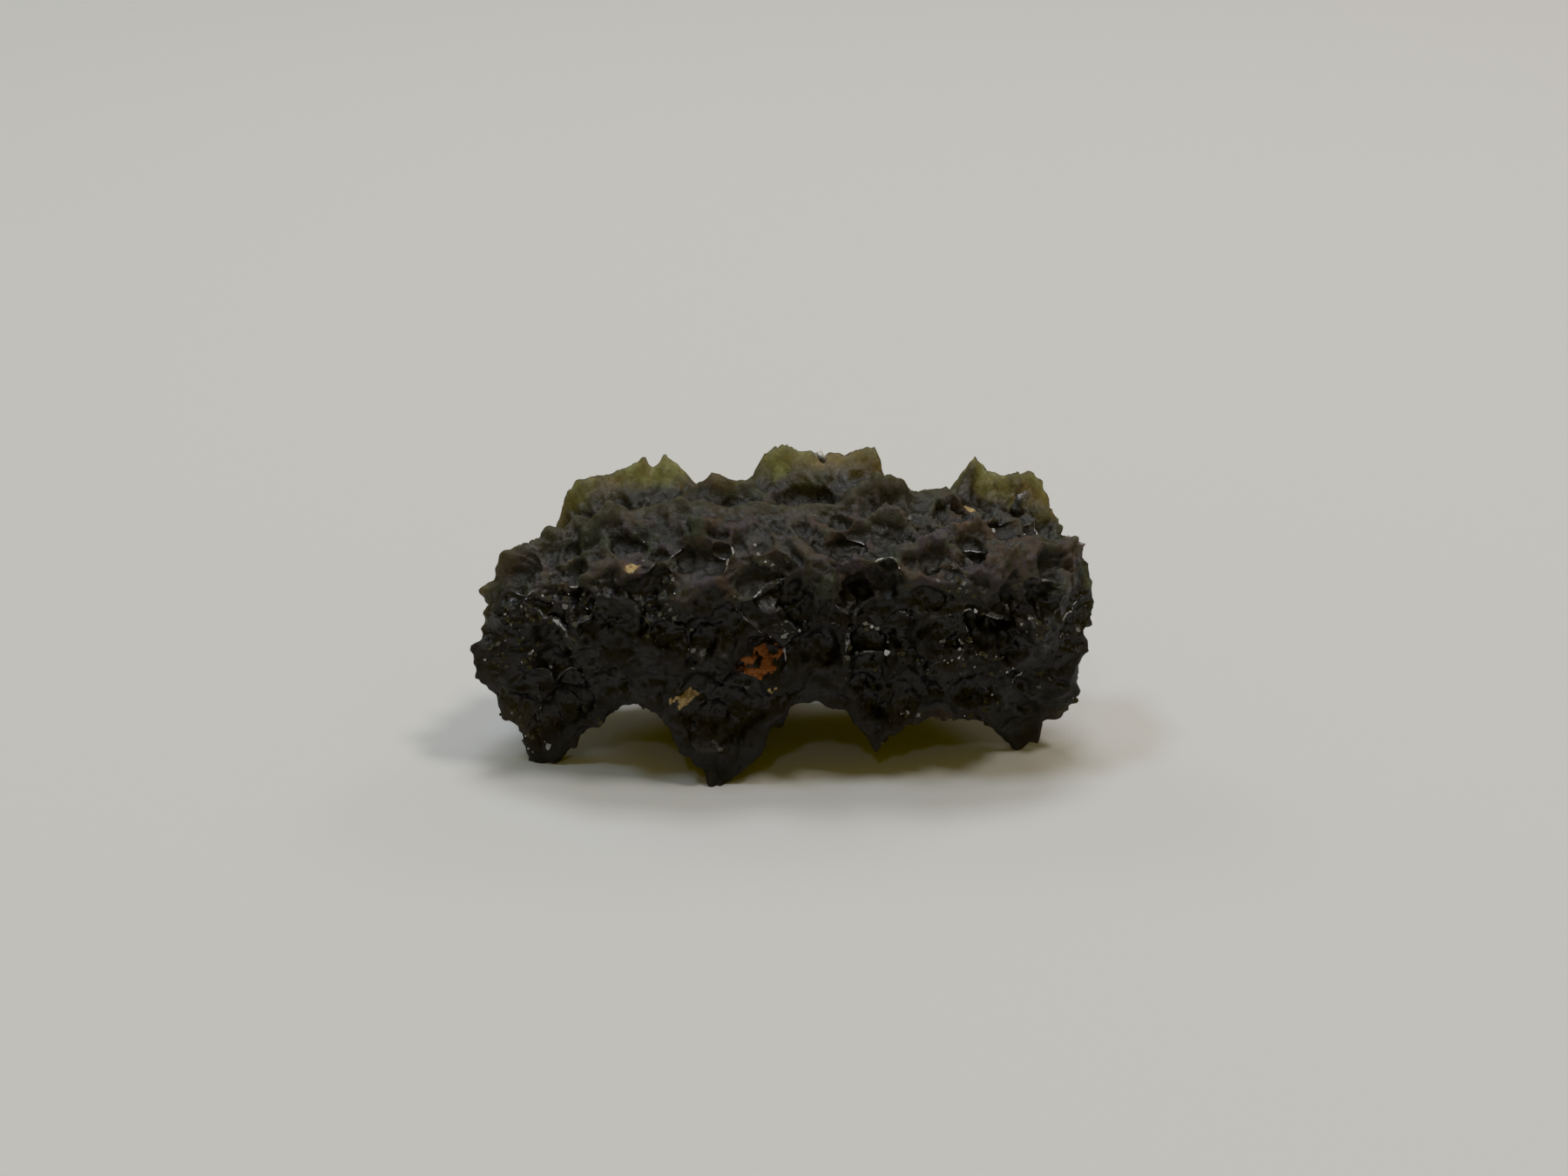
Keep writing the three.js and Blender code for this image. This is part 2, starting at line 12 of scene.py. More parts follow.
import bpy
import numpy as np
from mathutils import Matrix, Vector


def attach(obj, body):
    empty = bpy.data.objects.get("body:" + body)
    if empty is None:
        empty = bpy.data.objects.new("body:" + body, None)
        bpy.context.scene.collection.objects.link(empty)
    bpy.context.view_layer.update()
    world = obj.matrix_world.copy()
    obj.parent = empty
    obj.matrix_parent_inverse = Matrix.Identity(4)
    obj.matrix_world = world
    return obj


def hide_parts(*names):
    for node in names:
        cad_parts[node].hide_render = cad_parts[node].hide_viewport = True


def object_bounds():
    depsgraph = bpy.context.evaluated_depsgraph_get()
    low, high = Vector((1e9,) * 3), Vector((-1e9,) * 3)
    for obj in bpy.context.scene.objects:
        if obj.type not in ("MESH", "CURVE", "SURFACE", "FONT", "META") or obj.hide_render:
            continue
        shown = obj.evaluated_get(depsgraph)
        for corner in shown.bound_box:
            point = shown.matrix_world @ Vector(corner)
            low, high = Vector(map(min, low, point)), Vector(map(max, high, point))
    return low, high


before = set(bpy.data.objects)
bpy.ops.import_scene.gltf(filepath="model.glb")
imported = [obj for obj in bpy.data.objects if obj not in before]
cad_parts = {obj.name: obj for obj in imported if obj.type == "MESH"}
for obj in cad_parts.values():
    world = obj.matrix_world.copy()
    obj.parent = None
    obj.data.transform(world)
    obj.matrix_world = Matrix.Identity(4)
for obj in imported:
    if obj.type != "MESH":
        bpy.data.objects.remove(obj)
cad_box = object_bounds()

MM = 0.001

# The blank, in millimetres
CORE_HALF_LENGTH = 10
CORE_HEIGHT = 9.6
CAPSULE_RADIUS = 7
LEFT_END_REACH = 6.5
RIGHT_END_REACH = 6.7
SECTION_SPREAD = 6
SECTION_POWER = 2.6
ALONG_END = CORE_HALF_LENGTH + CAPSULE_RADIUS * math.pi / 2

# How far the blank reaches from the core at stations along the stone: x, top, bottom, front, back
SECTIONS = np.array([
    (-18.0, 2.6, 4.6, 4.8, 4.6),
    (-15.5, 2.9, 5.3, 5.2, 5.0),
    (-13.0, 3.4, 5.5, 5.5, 5.4),
    (-10.0, 4.6, 5.0, 5.8, 5.8),
    (-6.0, 5.3, 5.1, 6.0, 6.0),
    (-2.0, 5.3, 5.5, 6.1, 6.1),
    (2.0, 5.1, 4.9, 6.0, 6.1),
    (6.0, 5.4, 5.4, 6.0, 6.0),
    (9.0, 5.1, 6.0, 5.8, 5.9),
    (12.0, 4.9, 6.0, 5.5, 5.7),
    (15.0, 4.1, 5.4, 5.1, 5.3),
    (18.0, 3.4, 4.8, 4.8, 4.8),
])

# Crest lines: width, power and points. A larger width makes a thicker foot to the crest, and a larger power
# makes its flanks bulge. Feet reach below the table, which wears them flat.
CRESTS = {
    "left fin": (0.85, 1.3, [
        (-13.2, 3.0, 10.6), (-13.3, 3.6, 12.4), (-12.9, 4.2, 13.8), (-12.1, 4.5, 14.8), (-11.2, 4.6, 14.9),
        (-9.5, 4.6, 15.5), (-8.2, 4.4, 16.0), (-7.8, 4.4, 15.7), (-7.1, 4.4, 16.4), (-6.1, 4.2, 15.6),
        (-5.4, 3.8, 14.6)]),
    "low knob": (0.9, 1.3, [
        (-4.9, 2.2, 15.4), (-4.3, 2.0, 16.2), (-3.6, 2.0, 15.9), (-2.2, 2.2, 15.7)]),
    "middle fin": (0.85, 1.3, [
        (-1.8, 4.0, 15.2), (-1.2, 4.5, 16.5), (-0.8, 4.6, 16.8), (0.8, 4.7, 16.6), (1.8, 4.6, 16.8),
        (2.4, 4.5, 16.5), (4.0, 4.5, 16.6), (5.1, 4.4, 16.9), (5.4, 4.2, 15.6)]),
    "notch rim": (1.0, 1.3, [
        (4.4, 0.6, 16.0), (5.0, 1.0, 16.7), (5.4, 1.2, 16.1), (6.5, 1.5, 16.0), (7.0, 1.9, 15.1),
        (8.4, 2.4, 15.0), (9.4, 3.2, 14.6)]),
    "right fin": (0.75, 1.3, [
        (9.7, 4.2, 14.4), (10.3, 4.5, 15.2), (10.9, 4.6, 16.4), (11.4, 4.5, 16.0), (12.0, 4.4, 15.3),
        (13.6, 4.5, 14.8), (14.2, 4.6, 15.2), (14.9, 4.4, 14.7), (15.3, 4.0, 13.3)]),
    "right edge": (1.3, 1.3, [
        (15.4, 3.6, 13.2), (16.3, 3.0, 12.4), (16.9, 2.0, 11.5), (17.5, 1.0, 10.6), (17.6, 0.0, 9.6),
        (17.9, -0.5, 8.1), (17.4, -0.7, 7.2), (17.2, -1.0, 5.6)]),
    "right foot": (1.8, 1.5, [
        (17.2, -1.0, 5.6), (16.8, -1.4, 4.3), (17.0, -1.5, 3.4), (16.3, -1.7, 2.2), (15.2, -1.7, 1.3),
        (14.8, -1.7, 0.4), (13.8, -1.7, -0.5), (12.8, -2.0, 0.8), (12.1, -2.7, 1.8)]),
    "left edge": (1.1, 1.3, [
        (-12.4, 1.0, 14.0), (-12.9, 0.8, 13.1), (-13.7, 0.2, 13.2), (-14.6, -0.4, 12.8), (-16.2, -1.0, 12.3),
        (-16.7, -1.0, 11.1), (-17.4, -1.0, 10.0), (-16.7, -1.4, 9.1)]),
    "left horn": (2.1, 1.5, [
        (-16.7, -1.4, 9.1), (-16.6, -2.0, 8.0), (-17.4, -2.8, 7.2), (-18.0, -3.0, 6.1), (-17.1, -3.0, 4.2),
        (-16.2, -3.0, 2.6), (-15.4, -3.1, 1.4)]),
    "left foot": (1.9, 1.5, [
        (-15.4, -3.1, 1.4), (-15.0, -3.2, -0.3), (-14.1, -3.2, -0.4), (-12.3, -3.5, 1.2), (-10.8, -3.9, 2.6),
        (-9.9, -4.2, 3.9)]),
    "left arch": (1.4, 1.3, [
        (-9.9, -4.2, 3.9), (-9.1, -4.5, 4.4), (-8.1, -4.8, 4.4), (-7.2, -5.2, 4.2), (-6.5, -5.6, 3.6)]),
    "middle leg": (1.9, 1.6, [
        (-6.5, -5.6, 3.6), (-6.0, -6.0, 2.2), (-5.6, -6.1, 1.7), (-4.9, -6.3, 0.8), (-3.8, -6.4, -0.7),
        (-2.7, -6.3, 0.4), (-1.8, -6.1, 1.7), (-1.3, -5.7, 3.0)]),
    "lower edge with the thorn": (1.4, 1.3, [
        (-1.3, -5.7, 3.0), (-0.4, -5.2, 4.1), (0.7, -5.0, 4.5), (1.8, -4.8, 4.4), (3.0, -4.8, 3.9),
        (3.9, -4.8, 3.2), (4.5, -4.8, 2.4), (5.1, -4.8, 1.2), (5.6, -4.7, 2.3), (6.8, -4.5, 2.8),
        (8.7, -4.2, 2.8), (11.0, -3.4, 2.8), (12.1, -2.7, 1.8)]),
    "front crest": (0.9, 1.3, [
        (-11.5, -0.8, 14.0), (-10.0, -0.6, 15.2), (-8.8, -0.2, 14.4), (-6.0, -0.6, 15.7), (-4.0, -0.8, 15.2),
        (-1.6, -0.6, 15.5), (0.4, -0.6, 14.9), (3.0, -0.2, 15.3), (4.6, 0.6, 16.3)]),
    "back sill with the back foot": (1.7, 1.5, [
        (-14.0, 3.0, 4.6), (-11.0, 4.6, 3.6), (-8.0, 5.4, 3.2), (-5.2, 5.4, 2.2), (-3.0, 5.2, -0.7),
        (-1.2, 5.5, 2.2), (3.0, 5.6, 3.4), (7.0, 5.4, 2.4), (8.6, 5.2, 1.2), (10.0, 5.0, 2.6),
        (13.0, 4.0, 3.6), (15.5, 2.5, 5.0)]),
}
CREST_REACH = 0.74
THIN_CREST = 1.2

# Scoops: along, round, radius, depth
UPPER_SLOPE_SCOOPS = [
    (-17.0, 44, 1.4, 0.8), (-13.5, 43, 1.5, 0.8), (-9.3, 54, 2.1, 1.0), (-9.9, 36, 1.1, 0.6),
    (-6.2, 56, 1.0, 0.7), (-5.5, 40, 1.7, 1.0), (-1.8, 53, 1.4, 0.7), (-1.6, 32, 1.6, 0.9),
    (-3.9, 60, 0.5, 0.6), (-3.7, 48, 0.4, 0.5), (2.4, 84, 1.5, 0.8), (0.1, 68, 1.1, 0.5),
    (3.2, 50, 1.2, 0.8), (5.1, 64, 1.4, 0.7), (7.6, 65, 1.7, 0.8), (8.3, 41, 1.2, 0.7),
    (10.6, 55, 1.5, 0.8), (13.1, 65, 1.1, 0.7), (16.4, 46, 1.0, 0.7), (10.4, 43, 0.75, 1.2),
]
TOP_SCOOPS = [
    (-13.5, 70, 1.5, 0.8), (-11.5, 82, 1.6, 0.8), (-9.5, 102, 1.8, 0.9), (-7.8, 107, 1.3, 0.5),
    (-5.6, 85, 1.4, 0.8), (-3.2, 100, 1.5, 0.8), (-1.0, 80, 1.3, 0.7), (0.8, 102, 1.7, 0.8),
    (5.0, 98, 1.4, 0.8), (7.5, 95, 1.8, 0.9), (9.6, 85, 1.3, 0.7), (11.6, 97, 1.6, 0.9),
    (13.6, 78, 1.3, 0.7), (13.6, 116, 1.5, 0.8), (16.0, 108, 1.3, 0.8),
]
FRONT_SCOOPS = [
    (-17.2, 12, 0.9, 0.5), (-15.8, 356, 1.1, 0.8), (-13.7, 16, 1.5, 0.9), (-13.7, 336, 2.4, 1.8),
    (-11.0, 355, 1.1, 0.7), (-10.1, 29, 0.9, 0.5), (-8.9, 348, 1.8, 0.9), (-7.8, 22, 1.4, 1.1),
    (-7.6, 10, 0.6, 0.7), (-7.6, 332, 1.1, 0.6), (-6.6, 354, 1.2, 0.8), (-4.7, 16, 1.1, 0.7),
    (-4.1, 0, 1.4, 1.0), (-2.4, 358, 0.8, 0.6), (-1.6, 341, 1.3, 0.8), (-0.1, 13, 1.6, 1.2),
    (1.6, 348, 1.3, 1.0), (3.5, 32, 1.0, 0.7), (4.3, 0, 0.8, 0.6), (5.3, 18, 1.8, 1.6),
    (5.7, 346, 2.0, 1.6), (7.6, 18, 0.8, 0.5), (8.9, 353, 1.2, 0.9), (10.1, 12, 0.9, 0.5),
    (12.0, 343, 2.1, 1.6), (12.4, 17, 1.1, 0.6), (13.9, 1, 1.1, 0.7), (15.4, 14, 1.3, 0.9),
]
LOWER_EDGE_SCOOPS = [
    (-16.6, 324, 1.0, 0.6), (-14.7, 310, 1.1, 0.7), (-12.9, 298, 1.2, 0.7), (-11.4, 316, 1.2, 0.7),
    (-5.5, 314, 0.9, 0.5), (-3.7, 317, 1.0, 0.8), (-3.4, 307, 0.9, 0.6), (-2.2, 313, 1.0, 0.6),
    (-1.1, 319, 0.7, 0.6), (-0.1, 318, 0.9, 0.7), (1.4, 323, 0.9, 0.6), (3.2, 314, 0.9, 0.6),
    (6.0, 314, 0.8, 0.7), (7.4, 314, 0.9, 0.6), (9.1, 322, 1.3, 0.8), (11.8, 302, 1.1, 0.7),
    (12.8, 287, 0.7, 0.5), (13.9, 289, 1.2, 0.9), (15.2, 295, 1.0, 0.6), (16.2, 314, 1.3, 0.9),
]

# Scoops spread evenly over the back and the underside: count, seed, first and last place round, smallest and
# largest radius, depth as a share of the radius
BACK_SCOOPS = [(58, 1, 118, 322, 1.6, 2.9, 0.42), (50, 2, 112, 330, 0.9, 1.5, 0.5)]
GOLDEN_RATIO = 0.6180339887
SPREAD_END_MARGIN = 2
SPREAD_JITTER = 0.8
SPREAD_SEED_TURN = 0.13
SPREAD_DEPTHS = (0.8, 0.5)
SCOOP_LIP_SPREAD = 1.12
SCOOP_STRETCH = 0.35
SCOOP_SLANT = 0.3
SCOOP_RAGGEDNESS = 0.75
SCOOP_LEAN = 0.45
BOWL_POWER = 2.2
SCOOP_CREST_LOSS = 0.9

# The wander that makes the scoops' outlines ragged: distance, seed, share
SCOOP_RAGS = [(1.7, 3, 1.0), (0.8, 6, 0.5)]

# Where the smooth slope starts at the front and ends at the back, and how wide each border is, in degrees
SLOPE_FRONT_BORDER = (14, 22)
SLOPE_BACK_BORDER = (134, 20)
BORDER_WANDER = 46
BORDER_PATCH = 3.2

# Scallops: width, depth on the upper slope, depth elsewhere, seed, share left on a crest line and on a fin
SCALLOPS = [
    (2.3, 0.86, 1.15, 10, 0.35, 0.1),
    (1.15, 0.26, 0.40, 20, 0.6, 0.4),
    (0.58, 0.11, 0.17, 40, 0.9, 0.8),
]
SCALLOP_RIM_LEVEL = 0.4
SCALLOP_RAGGEDNESS = 0.85
SCALLOP_RAG_WIDTHS = 2.2
SCALLOP_VARIETY = 0.5
SCALLOP_STRENGTHS = (0.3, 1.3)
SCALLOP_PATCH_WIDTHS = 3.1
SCALLOP_CREST_LOSS = 0.3
CELL_JITTER = 0.9
SLOPE_TILT = 1.5
RUGGED_TILT = 0.9
RIM_SHARPNESS = 0.8

# Pores: width of a cell of the scatter, radius, depth, seed
PORES = [(1.7, 0.42, 0.50, 71), (1.1, 0.26, 0.34, 81)]
PORE_RAG_WIDTHS = 0.6
PORE_RAGGEDNESS = 1.6
PORES_ON_SLOPE = 0.15
PORE_CREST_LOSS = 0.5
PORE_FIN_LOSS = 10

# Unevenness all over: width, height, seed
UNEVENNESS = [(0.85, 0.14, 101), (0.41, 0.08, 104), (0.24, 0.06, 107)]
UNEVENNESS_PATCH = 2.7

# Teeth along the crests: width, height, seed
TEETH = [(0.9, 0.38, 91), (0.42, 0.26, 92)]
TEETH_LEVEL = 1.1

# Where pores and teeth come in patches: distance, gain, loss, most
PORE_PATCHES = (4.0, 2.5, 0.8, 1)
TEETH_PATCHES = (2.4, 2.8, 0.8, 1.5)

# The grid of the stone's mesh, and how it is evened out where walls are steep
ROWS = 330
COLUMNS = 300
SMOOTH_ROWS = 5
EVEN_SHARE = 0.6

# What stands out: half-widths of the narrow and the wide window, in cells, and the height that counts in each
RIDGE_WINDOWS = (3, 9)
RIDGE_HEIGHTS = (0.12, 0.45)

# Multipliers of the repeatable noise
SINE_SCALE = 43758.5453
INDEX_STEPS = (12.9898, 78.233)
CELL_STEPS = (127.1, 311.7, 74.7, 53.3)
TINY = 1e-12
TINY_SQUARE = 1e-9


# ---- The stone's surface ----

def unit(vectors):
    """Each vector divided by its length."""
    return vectors / np.maximum(np.linalg.norm(vectors, axis=-1, keepdims=True), TINY)


def fraction(values):
    """What is left above the whole number below."""
    return values - np.floor(values)


def scatter(index, seed):
    """Repeatable noise between 0 and 1 from a whole number: the fraction of a large multiple of its sine."""
    return fraction(np.sin(index * INDEX_STEPS[0] + seed * INDEX_STEPS[1]) * SINE_SCALE)


def cell_noise(cell, seed):
    """Repeatable noise between 0 and 1 from a cell of a cubic lattice, by a sine of its whole numbers."""
    x_step, y_step, z_step, seed_step = CELL_STEPS
    mixed = cell[..., 0] * x_step + cell[..., 1] * y_step + cell[..., 2] * z_step + seed * seed_step
    return fraction(np.sin(mixed) * SINE_SCALE)


def smooth_noise(points, distance, seed):
    """Noise between 0 and 1 that changes over the given distance: the values at the eight corners of a
    lattice cell, blended by 3t^2 - 2t^3 of the place within the cell."""
    scaled = points / distance
    cell = np.floor(scaled)
    share = scaled - cell
    share = share * share * (3 - 2 * share)
    total = 0
    for corner in np.ndindex(2, 2, 2):
        weights = np.where(corner, share, 1 - share)
        total = total + weights.prod(-1) * cell_noise(cell + corner, seed)
    return total


def patches(points, seed, distance, gain, loss, most):
    """Noise that leaves bare patches: gain x noise - loss, held between 0 and the most."""
    return np.clip(gain * smooth_noise(points, distance, seed) - loss, 0, most)


def wander(points, distance, seed):
    """Three smooth noises about zero, as a vector."""
    return np.stack([smooth_noise(points, distance, seed + axis) - 0.5 for axis in range(3)], -1)


def core_at(x):
    """The core's point at each x, held within the core's ends."""
    core = np.zeros((*x.shape, 3))
    core[..., 0] = np.clip(x, -CORE_HALF_LENGTH, CORE_HALF_LENGTH)
    core[..., 2] = CORE_HEIGHT
    return core


def frame_at(along, angle):
    """Core point and outward direction of a place. The direction turns from square to the core to endways as
    |along| goes on past the core's end over a quarter circle."""
    bend = np.clip((np.abs(along) - CORE_HALF_LENGTH) / CAPSULE_RADIUS, 0, math.pi / 2)
    sideways = np.cos(bend)
    outward = np.stack([
        np.sign(along) * np.sin(bend),
        -sideways * np.cos(angle),
        sideways * np.sin(angle),
    ], -1)
    return core_at(along), outward


def blank_radius(core, outward):
    """Radius of the smooth blank along a direction, where the sum of (|axis| / reach)^p comes to 1."""
    x = core[..., 0] + outward[..., 0] * SECTION_SPREAD
    top, bottom, front, back = [np.interp(x, SECTIONS[:, 0], SECTIONS[:, side]) for side in range(1, 5)]
    end_reach = np.where(outward[..., 0] < 0, LEFT_END_REACH, RIGHT_END_REACH)
    depth_reach = np.where(outward[..., 1] < 0, front, back)
    height_reach = np.where(outward[..., 2] > 0, top, bottom)
    shares = np.abs(outward) / np.stack([end_reach, depth_reach, height_reach], -1)
    return (shares ** SECTION_POWER).sum(-1) ** (-1 / SECTION_POWER)


CREST_SEGMENTS = [
    (width, power, np.array(start), np.subtract(end, start))
    for width, power, points in CRESTS.values()
    for start, end in zip(points, points[1:])
]


def crested_surface(core, outward):
    """The blank raised to the crest lines, how closely each direction runs to one, and the same for thin ones
    alone. Along a direction, the crest's nearest point lies at a radius and misses by a distance; the surface
    goes from the blank towards that radius by exp(-(miss / width)^power), and the furthest wins."""
    blank = blank_radius(core, outward)
    radius = blank.copy()
    closeness = np.zeros_like(blank)
    thinness = np.zeros_like(blank)
    for width, power, start, step in CREST_SEGMENTS:
        offset = start - core
        offset_out = (offset * outward).sum(-1)
        step_out = outward @ step
        aside = offset - offset_out[..., None] * outward
        step_aside = step - step_out[..., None] * outward
        share = -(aside * step_aside).sum(-1) / np.maximum((step_aside ** 2).sum(-1), TINY_SQUARE)
        share = np.clip(share, 0, 1)
        crest_radius = offset_out + share * step_out
        miss = np.linalg.norm(aside + share[..., None] * step_aside, axis=-1)
        pull = np.where(crest_radius > 0, np.exp(-((miss / width) ** power)), 0)
        radius = np.maximum(radius, blank + (crest_radius - blank) * pull)
        closeness = np.maximum(closeness, pull)
        if width < THIN_CREST:
            thinness = np.maximum(thinness, pull)
    return core + radius[..., None] * outward, closeness, thinness


def crest_nearness(points):
    """1 on a crest line, falling to 0 about a millimetre and a half away, as exp(-(distance / reach)^2)."""
    nearest = np.full(points.shape[:-1], np.inf)
    for _, _, start, step in CREST_SEGMENTS:
        offset = points - start
        share = np.clip(offset @ step / (step @ step), 0, 1)
        nearest = np.minimum(nearest, ((offset - share[..., None] * step) ** 2).sum(-1))
    return np.exp(-nearest / CREST_REACH ** 2)


def spread_scoops(count, seed, start, end, small, large, depth):
    """Scoops spread evenly: along by equal steps with a little scatter, round by the golden ratio."""
    index = np.arange(count)
    along = (2 * (index + 0.5) / count - 1) * (ALONG_END - SPREAD_END_MARGIN)
    along = along + SPREAD_JITTER * (scatter(index, seed + 1) - 0.5)
    round_place = start + (end - start) * fraction(index * GOLDEN_RATIO + SPREAD_SEED_TURN * seed)
    radius = small + (large - small) * scatter(index, seed)
    least, spread = SPREAD_DEPTHS
    depths = radius * depth * (least + spread * scatter(index, seed + 2))
    return np.stack([along, round_place, radius, depths], -1)


def all_scoops():
    """Every scoop as (lip point, radius, depth, stretch along x, lean)."""
    listed = UPPER_SLOPE_SCOOPS + TOP_SCOOPS + FRONT_SCOOPS + LOWER_EDGE_SCOOPS
    table = np.concatenate([listed] + [spread_scoops(*row) for row in BACK_SCOOPS])
    lips, _, _ = crested_surface(*frame_at(table[:, 0], np.radians(table[:, 1])))
    index = np.arange(len(table))
    stretch = 1 / (1 + SCOOP_STRETCH * scatter(index, 31))
    lean = SCOOP_SLANT * (scatter(index, 33) - 0.5)
    return list(zip(lips, table[:, 2] * SCOOP_LIP_SPREAD, table[:, 3], stretch, lean))


def scoop_depth(points):
    """How deep the scoops bite: depth (1 - (distance / radius)^p), more towards the upper lip. The deepest
    wins, so that they meet in sharp ridges, and two sizes of noise make their outlines ragged."""
    ragged = sum(share * wander(points, distance, seed) for distance, seed, share in SCOOP_RAGS)
    bite = np.zeros(points.shape[:-1])
    for lip, radius, depth, stretch, lean in all_scoops():
        offset = points + ragged * radius * SCOOP_RAGGEDNESS - lip
        tilt = np.clip((offset[..., 2] + lean * offset[..., 0]) / radius, -1, 1)
        away = np.linalg.norm(offset * (stretch, 1, 1), axis=-1) / radius
        bite = np.maximum(bite, depth * (1 - away ** BOWL_POWER) * (1 + SCOOP_LEAN * tilt))
    return bite


def cell_distance(points, size, seed, variety=0.0, tilt=0.0):
    """Squared distance, in cells, to the nearest of the points scattered one to a cell of the lattice. Each
    point's distance gains up to half the variety either way, which makes some cells wide and deep, and then
    a slope of its own, which sets the cells at different angles with a step between them."""
    scaled = points / size
    base = np.floor(scaled)
    nearest = np.full(points.shape[:-1], np.inf)
    slope = np.zeros(points.shape[:-1])
    tilted = np.any(tilt)
    for shift in np.ndindex(3, 3, 3):
        cell = base + shift - 1
        jitter = np.stack([cell_noise(cell, seed + axis) for axis in range(3)], -1) - 0.5
        offset = cell + 0.5 + CELL_JITTER * jitter - scaled
        distance = (offset ** 2).sum(-1)
        if variety:
            distance = distance + variety * (cell_noise(cell, seed + 3) - 0.5)
        closer = distance < nearest
        nearest = np.where(closer, distance, nearest)
        if tilted:
            lean = np.stack([cell_noise(cell, seed + 4 + axis) for axis in range(3)], -1) - 0.5
            slope = np.where(closer, tilt * (lean * offset).sum(-1), slope)
    return nearest + slope


def ruggedness(points, angle):
    """0 on the smoother upper slope, 1 on the front, the back and the underside, with a wandering border."""
    wandering = BORDER_WANDER * (smooth_noise(points, BORDER_PATCH, 55) - 0.5)
    degrees = np.degrees(angle) % 360 + wandering
    front, front_width = SLOPE_FRONT_BORDER
    back, back_width = SLOPE_BACK_BORDER
    return 1 - np.clip((degrees - front) / front_width, 0, 1) * np.clip((back - degrees) / back_width, 0, 1)


def even_steps(places, gaps, low, high):
    """Places along the last axis that share out its whole length more evenly. The gaps between neighbours,
    averaged over the rows beside, are added up, and the running total is read backwards at equal steps."""
    rows, count = gaps.shape
    beside = np.pad(gaps, ((SMOOTH_ROWS, SMOOTH_ROWS), (0, 0)), mode="edge")
    smooth = sum(beside[step:step + rows] for step in range(2 * SMOOTH_ROWS + 1)) / (2 * SMOOTH_ROWS + 1)
    smooth = smooth + smooth.mean(1, keepdims=True) * EVEN_SHARE
    total = np.concatenate([np.zeros((rows, 1)), np.cumsum(smooth, 1)], 1)
    total = total / total[:, -1:]
    row = np.arange(rows)[:, None] * 2
    known = np.broadcast_to(np.linspace(low, high, count + 1), total.shape)
    return np.interp((places + row).ravel(), (total + row).ravel(), known.ravel()).reshape(places.shape)


def grid_normals(points):
    """Outward direction of the grid's surface: the cross product of its two differences, the second one round
    the stone, where the last column is the first one's neighbour."""
    lengthwise = np.gradient(points, axis=0)
    crosswise = np.roll(points, -1, axis=1) - np.roll(points, 1, axis=1)
    return unit(np.cross(lengthwise, crosswise))


def scooped_surface(along, angle):
    """The blank raised to the crests, with the scoops dug square to it. Returns the surface, the direction in
    which it is worked on, the nearness to a crest line, and the closeness to any and to thin ones."""
    core, outward = frame_at(along, angle)
    surface, closeness, thinness = crested_surface(core, outward)
    nearness = crest_nearness(surface)
    normal = grid_normals(surface)
    normal[[0, -1]] = outward[[0, -1]]
    push = unit(normal * (1 - nearness[..., None]) + outward * nearness[..., None])
    bite = scoop_depth(surface) * (1 - SCOOP_CREST_LOSS * closeness) * (1 - nearness)
    surface = surface - push * bite[..., None]
    push = unit(push + RIM_SHARPNESS * grid_normals(surface))
    return surface, push, nearness, closeness, thinness


def even_grid():
    """Along and angle of every point of the grid, closer together where the scooped surface is steep."""
    along_line = np.linspace(-ALONG_END, ALONG_END, ROWS)
    angle_line = np.linspace(0, 2 * math.pi, COLUMNS, endpoint=False)
    along, angle = np.meshgrid(along_line, angle_line, indexing="ij")
    surface = scooped_surface(along, angle)[0]
    round_gaps = np.linalg.norm(np.roll(surface, -1, axis=1) - surface, axis=-1)
    long_gaps = np.linalg.norm(np.diff(surface, axis=0), axis=-1).T
    round_places = np.broadcast_to((np.arange(COLUMNS) + 0.5) / COLUMNS, (ROWS, COLUMNS))
    long_places = np.broadcast_to(np.linspace(0, 1, ROWS), (COLUMNS, ROWS))
    even_angle = even_steps(round_places, round_gaps, 0, 2 * math.pi)
    even_along = even_steps(long_places, long_gaps, -ALONG_END, ALONG_END).T
    return even_along, even_angle


